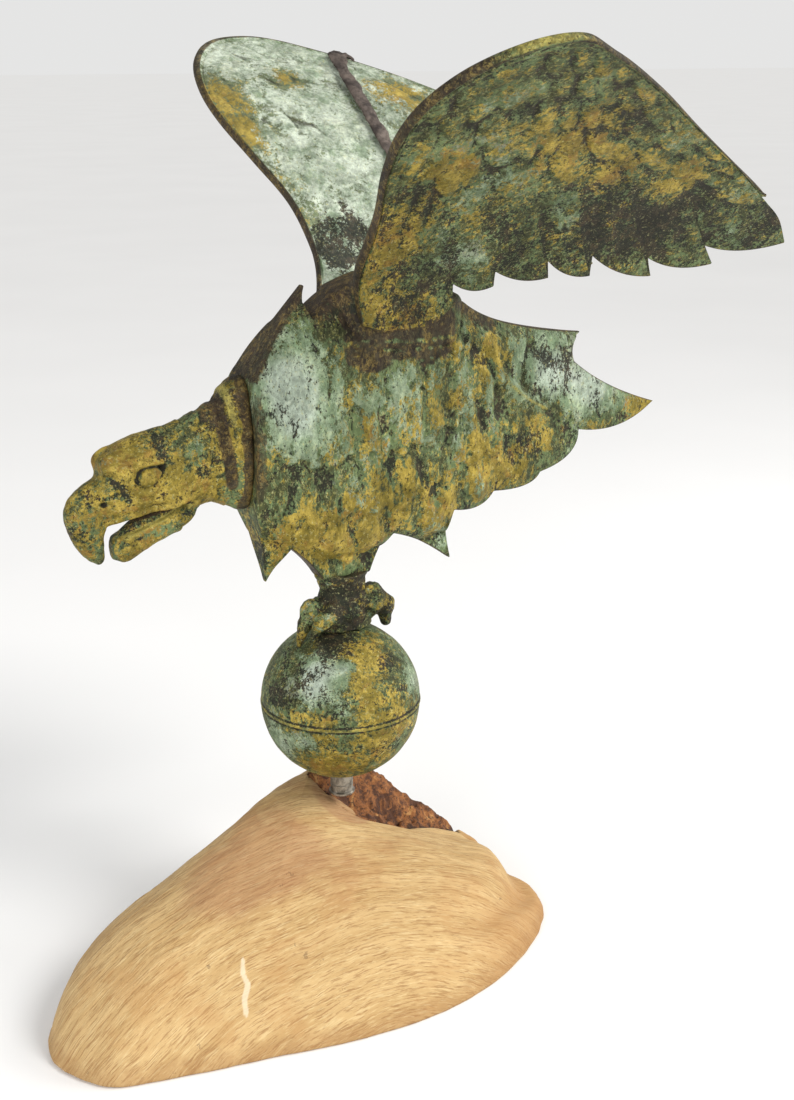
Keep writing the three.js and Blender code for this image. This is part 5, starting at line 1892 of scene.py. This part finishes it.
@dataclass(frozen=True)
class RawWood:
    """Dry root wood: combed pale grain on the boss and crumbling red-brown bark in the break."""

    name: str = "raw_wood"

    def make(self) -> bpy.types.Material:
        """Builds the material, its grain from tilted layers that the surface cuts.

        Returns:
            The material.
        """
        material, ink, shader, place = blank(self.name)
        split = ink.add("SeparateXYZ")
        ink.feed(split.inputs[0], place)
        x, y, z = split.outputs
        warp = ink.noise(place, 0.085, 3, 0.5)
        fine_warp = ink.noise(ink.shifted(place, 1.1), 0.016, 3, 0.55)
        arch = ink.maths("POWER", ink.maths("ADD", x, 0.05), 2.0)
        layer = ink.total((z, 0.5), (y, 1.0), (arch, 1.6), (warp, 0.016), (fine_warp, 0.0017))
        joined = ink.add("CombineXYZ")
        ink.feed(joined.inputs[0], ink.maths("MULTIPLY", x, 0.10))
        ink.feed(joined.inputs[1], layer)
        ink.feed(joined.inputs[2], ink.maths("MULTIPLY", y, 0.12))
        lines = ink.noise(joined.outputs[0], 0.0011, 3, 0.7)
        strands = ink.noise(ink.shifted(joined.outputs[0], 3.0), 0.0009, 2, 0.6)
        bands = ink.noise(ink.shifted(joined.outputs[0], 6.0), 0.012, 3, 0.6)
        blotch = ink.noise(ink.shifted(place, 4.0), 0.05, 4, 0.6, 0.4)
        colour = ink.mix(ink.step(bands, 0.35, 0.65), tone(184, 150, 98), tone(200, 168, 116))
        colour = ink.laid(colour, ink.step(lines, 0.50, 0.62), 0.62, tone(140, 100, 56))
        colour = ink.laid(colour, ink.step(strands, 0.54, 0.66), 0.5, tone(216, 192, 142))
        colour = ink.laid(colour, ink.step(blotch, 0.52, 0.68), 0.35, tone(176, 130, 76))
        # A darker red-brown: painted shade under the ball and its painted shadow from the seat
        # mark, together with blotches, and more of it on higher wood.
        warm = ink.step(ink.total((ink.mark("seat"), 0.5), (blotch, 0.5), (z, 2.2)), 0.42, 0.62)
        colour = ink.laid(colour, warm, 0.45, tone(150, 100, 70))
        colour = ink.laid(colour, ink.mark("flange"), 0.5, tone(170, 122, 70))
        scar = ink.step(ink.total((ink.mark("scar"), 1.0), (fine_warp, 0.7)), 0.72, 1.15)
        colour = ink.laid(colour, scar, 0.75, tone(222, 206, 176))
        nick = ink.step(ink.noise(ink.shifted(place, 14.0), 0.014, 5, 0.75), 0.66, 0.70)
        colour = ink.laid(colour, nick, 0.5, tone(96, 70, 44))
        crumb = ink.noise(ink.shifted(place, 8.0), 0.010, 6, 0.72, 0.6)
        flake = ink.noise(ink.shifted(place, 9.0), 0.0018, 4, 0.7)
        bark = ink.mix(ink.step(crumb, 0.42, 0.56), tone(80, 46, 24), tone(144, 90, 44))
        bark = ink.mix(ink.step(crumb, 0.56, 0.66), bark, tone(180, 132, 76))
        bark = ink.laid(bark, ink.step(flake, 0.54, 0.62), 0.85, tone(36, 24, 16))
        broken = ink.step(ink.mark("broken"), 0.25, 0.7)
        colour = ink.mix(broken, colour, bark)
        # Near-black along the crack: painted shade in the crevice under the bark's edge.
        colour = ink.laid(colour, ink.step(ink.mark("crack"), 0.25, 0.7), 0.85, tone(44, 28, 18))
        under = ink.step(ink.total((ink.mark("rim"), 1.0), (crumb, 0.3)), 1.0, 1.2)
        colour = ink.laid(colour, under, 0.5, tone(150, 108, 62))
        ink.feed(shader.inputs["Base Color"], colour)
        ink.feed(shader.inputs["Roughness"], ink.total((1.0, 0.68), (lines, 0.2)))
        smooth = ink.total((lines, -0.9), (strands, 0.5), (bands, 0.3))
        coarse = ink.total((crumb, 3.0), (flake, 1.4))
        whole = ink.maths("SUBTRACT", 1.0, broken)
        kept, torn = ink.maths("MULTIPLY", smooth, whole), ink.maths("MULTIPLY", coarse, broken)
        bumped(ink, shader, ink.maths("ADD", kept, torn), 0.6 * MM, 0.9)
        return material


class Lamp(Enum):
    """The studio's soft lamps: kind, place or direction, width or angle, power and colour."""

    KEY = ("SUN", (0.50, -0.62, 1.05), math.radians(22), 1.6, (1.0, 0.98, 0.95))
    SIDE = ("AREA", (1.3, -0.5, 1.0), 0.9, 14.0, (1.0, 0.99, 0.97))
    FRONT = ("AREA", (-1.3, -1.1, 0.7), 1.4, 18.0, (0.99, 0.99, 1.0))


@dataclass
class Studio:
    """Plain pale floor, soft lamps and the camera at the photograph's angle."""

    eye: tuple[float, float, float] = (-0.40907, -0.78080, 0.56097)
    turned: float = math.radians(30)
    down: float = math.radians(18.6)
    focal_pixels: float = 1500.0
    long_side: float = 1100.0
    film: float = 36.0
    floor_half: float = 30.0
    aim: tuple[float, float, float] = (0, 0, 0.28)
    sky: tuple[float, float, float, float] = (0.966, 0.966, 0.96, 1)
    sky_light: float = 0.55
    sky_seen: float = 0.262

    def build(self) -> None:
        """Adds the floor, the lamps, the world and the camera."""
        self.floor()
        self.lamps()
        self.world()
        self.camera()

    def floor(self) -> None:
        """Adds a plain pale floor."""
        mesh = bpy.data.meshes.new("floor")
        size = self.floor_half
        corners = [(-size, -size, 0), (size, -size, 0), (size, size, 0), (-size, size, 0)]
        mesh.from_pydata(corners, [], [(0, 1, 2, 3)])
        floor = bpy.data.objects.new("floor", mesh)
        material, ink, shader, place = blank("pale_floor")
        colour = ink.mix(ink.noise(place, 0.4, 2), tone(236, 236, 236), tone(242, 242, 242))
        ink.feed(shader.inputs["Base Color"], colour)
        shader.inputs["Roughness"].default_value = 1.0
        shader.inputs["Specular IOR Level"].default_value = 0.0
        mesh.materials.append(material)
        bpy.context.scene.collection.objects.link(floor)

    def lamps(self) -> None:
        """Adds the lamps, each turned toward the bird."""
        for lamp in Lamp:
            kind, spot, wide, power, colour = lamp.value
            data = bpy.data.lights.new(lamp.name.lower(), kind)
            data.energy, data.color = power, colour
            if kind == "SUN":
                data.angle = wide
            else:
                data.shape, data.size = "DISK", wide
            made = bpy.data.objects.new(lamp.name.lower(), data)
            made.location = spot
            toward = Vector(self.aim) - Vector(spot)
            made.rotation_euler = toward.to_track_quat("-Z", "Y").to_euler()
            bpy.context.scene.collection.objects.link(made)

    def world(self) -> None:
        """Adds the pale background, which lights the bird more softly than it looks."""
        world = bpy.data.worlds.new("studio")
        world.use_nodes = True
        back = world.node_tree.nodes["Background"]
        back.inputs["Color"].default_value = self.sky
        ink = Sketch(world.node_tree)
        seen = ink.add("LightPath").outputs["Is Camera Ray"]
        strength = ink.total((seen, self.sky_seen), (1.0, self.sky_light))
        ink.feed(back.inputs["Strength"], strength)
        bpy.context.scene.world = world
        bpy.context.scene.view_settings.view_transform = "Standard"

    def camera(self) -> None:
        """Adds the camera at the photograph's angle."""
        camera = bpy.data.cameras.new("camera")
        camera.sensor_width = self.film
        camera.lens = self.focal_pixels / self.long_side * self.film
        camera.clip_start, camera.clip_end = 0.01, 50
        made = bpy.data.objects.new("camera", camera)
        made.location = self.eye
        level = math.cos(self.down)
        sideways, forward = math.sin(self.turned) * level, math.cos(self.turned) * level
        ahead = Vector((sideways, forward, -math.sin(self.down)))
        made.rotation_euler = ahead.to_track_quat("-Z", "Y").to_euler()
        bpy.context.scene.collection.objects.link(made)
        bpy.context.scene.camera = made


def main() -> None:
    """Builds the wood, ferrule, ball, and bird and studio."""
    logging.basicConfig(level=logging.INFO, format="%(name)s: %(message)s")
    patina = patina_effect()
    WoodKnot().build(RawWood().make())
    pewter = DullMetal("grey_metal", (168, 162, 150), (104, 98, 88), 0.8, 0.006, 0.3, 0.3 * MM)
    Ferrule().build(pewter.make())
    Ball().build(Verdigris("ball_patina", gold=0.0, mint=0.15, dark=0.15).make(patina))
    Legs().build(Verdigris("leg_patina", gold=-0.25, mint=-0.4, dark=0.6).make(patina))
    body_finish = Verdigris("body_patina", gold=-0.05, mint=-0.05, dark=0.1, upright=0.65)
    Body().build(body_finish.make(patina))
    Head().build(Verdigris("head_patina", gold=0.15, mint=-0.35, dark=0.0).make(patina))
    # The wings' inner faces get more verdigris and painted light.
    inner = {"inner_mint": 1.15, "inner_bright": 1.0}
    worn = Verdigris("wing_patina", gold=0.1, mint=0.05, dark=0.1, edge_gold=-0.5, **inner)
    wing_finish = worn.make(patina)
    right = Wing(side=1)
    Wing(side=-1).build(wing_finish, "left_wing_feathered", "left_wing")
    right.build(wing_finish, "right_wing_feathered", "right_wing")
    iron = DullMetal("dark_iron", (108, 96, 88), (58, 50, 46), 0.35, 0.01, 0.5, 0.6 * MM)
    Brace(right).build(iron.make())
    Studio().build()


if __name__ == "__main__":
    main()
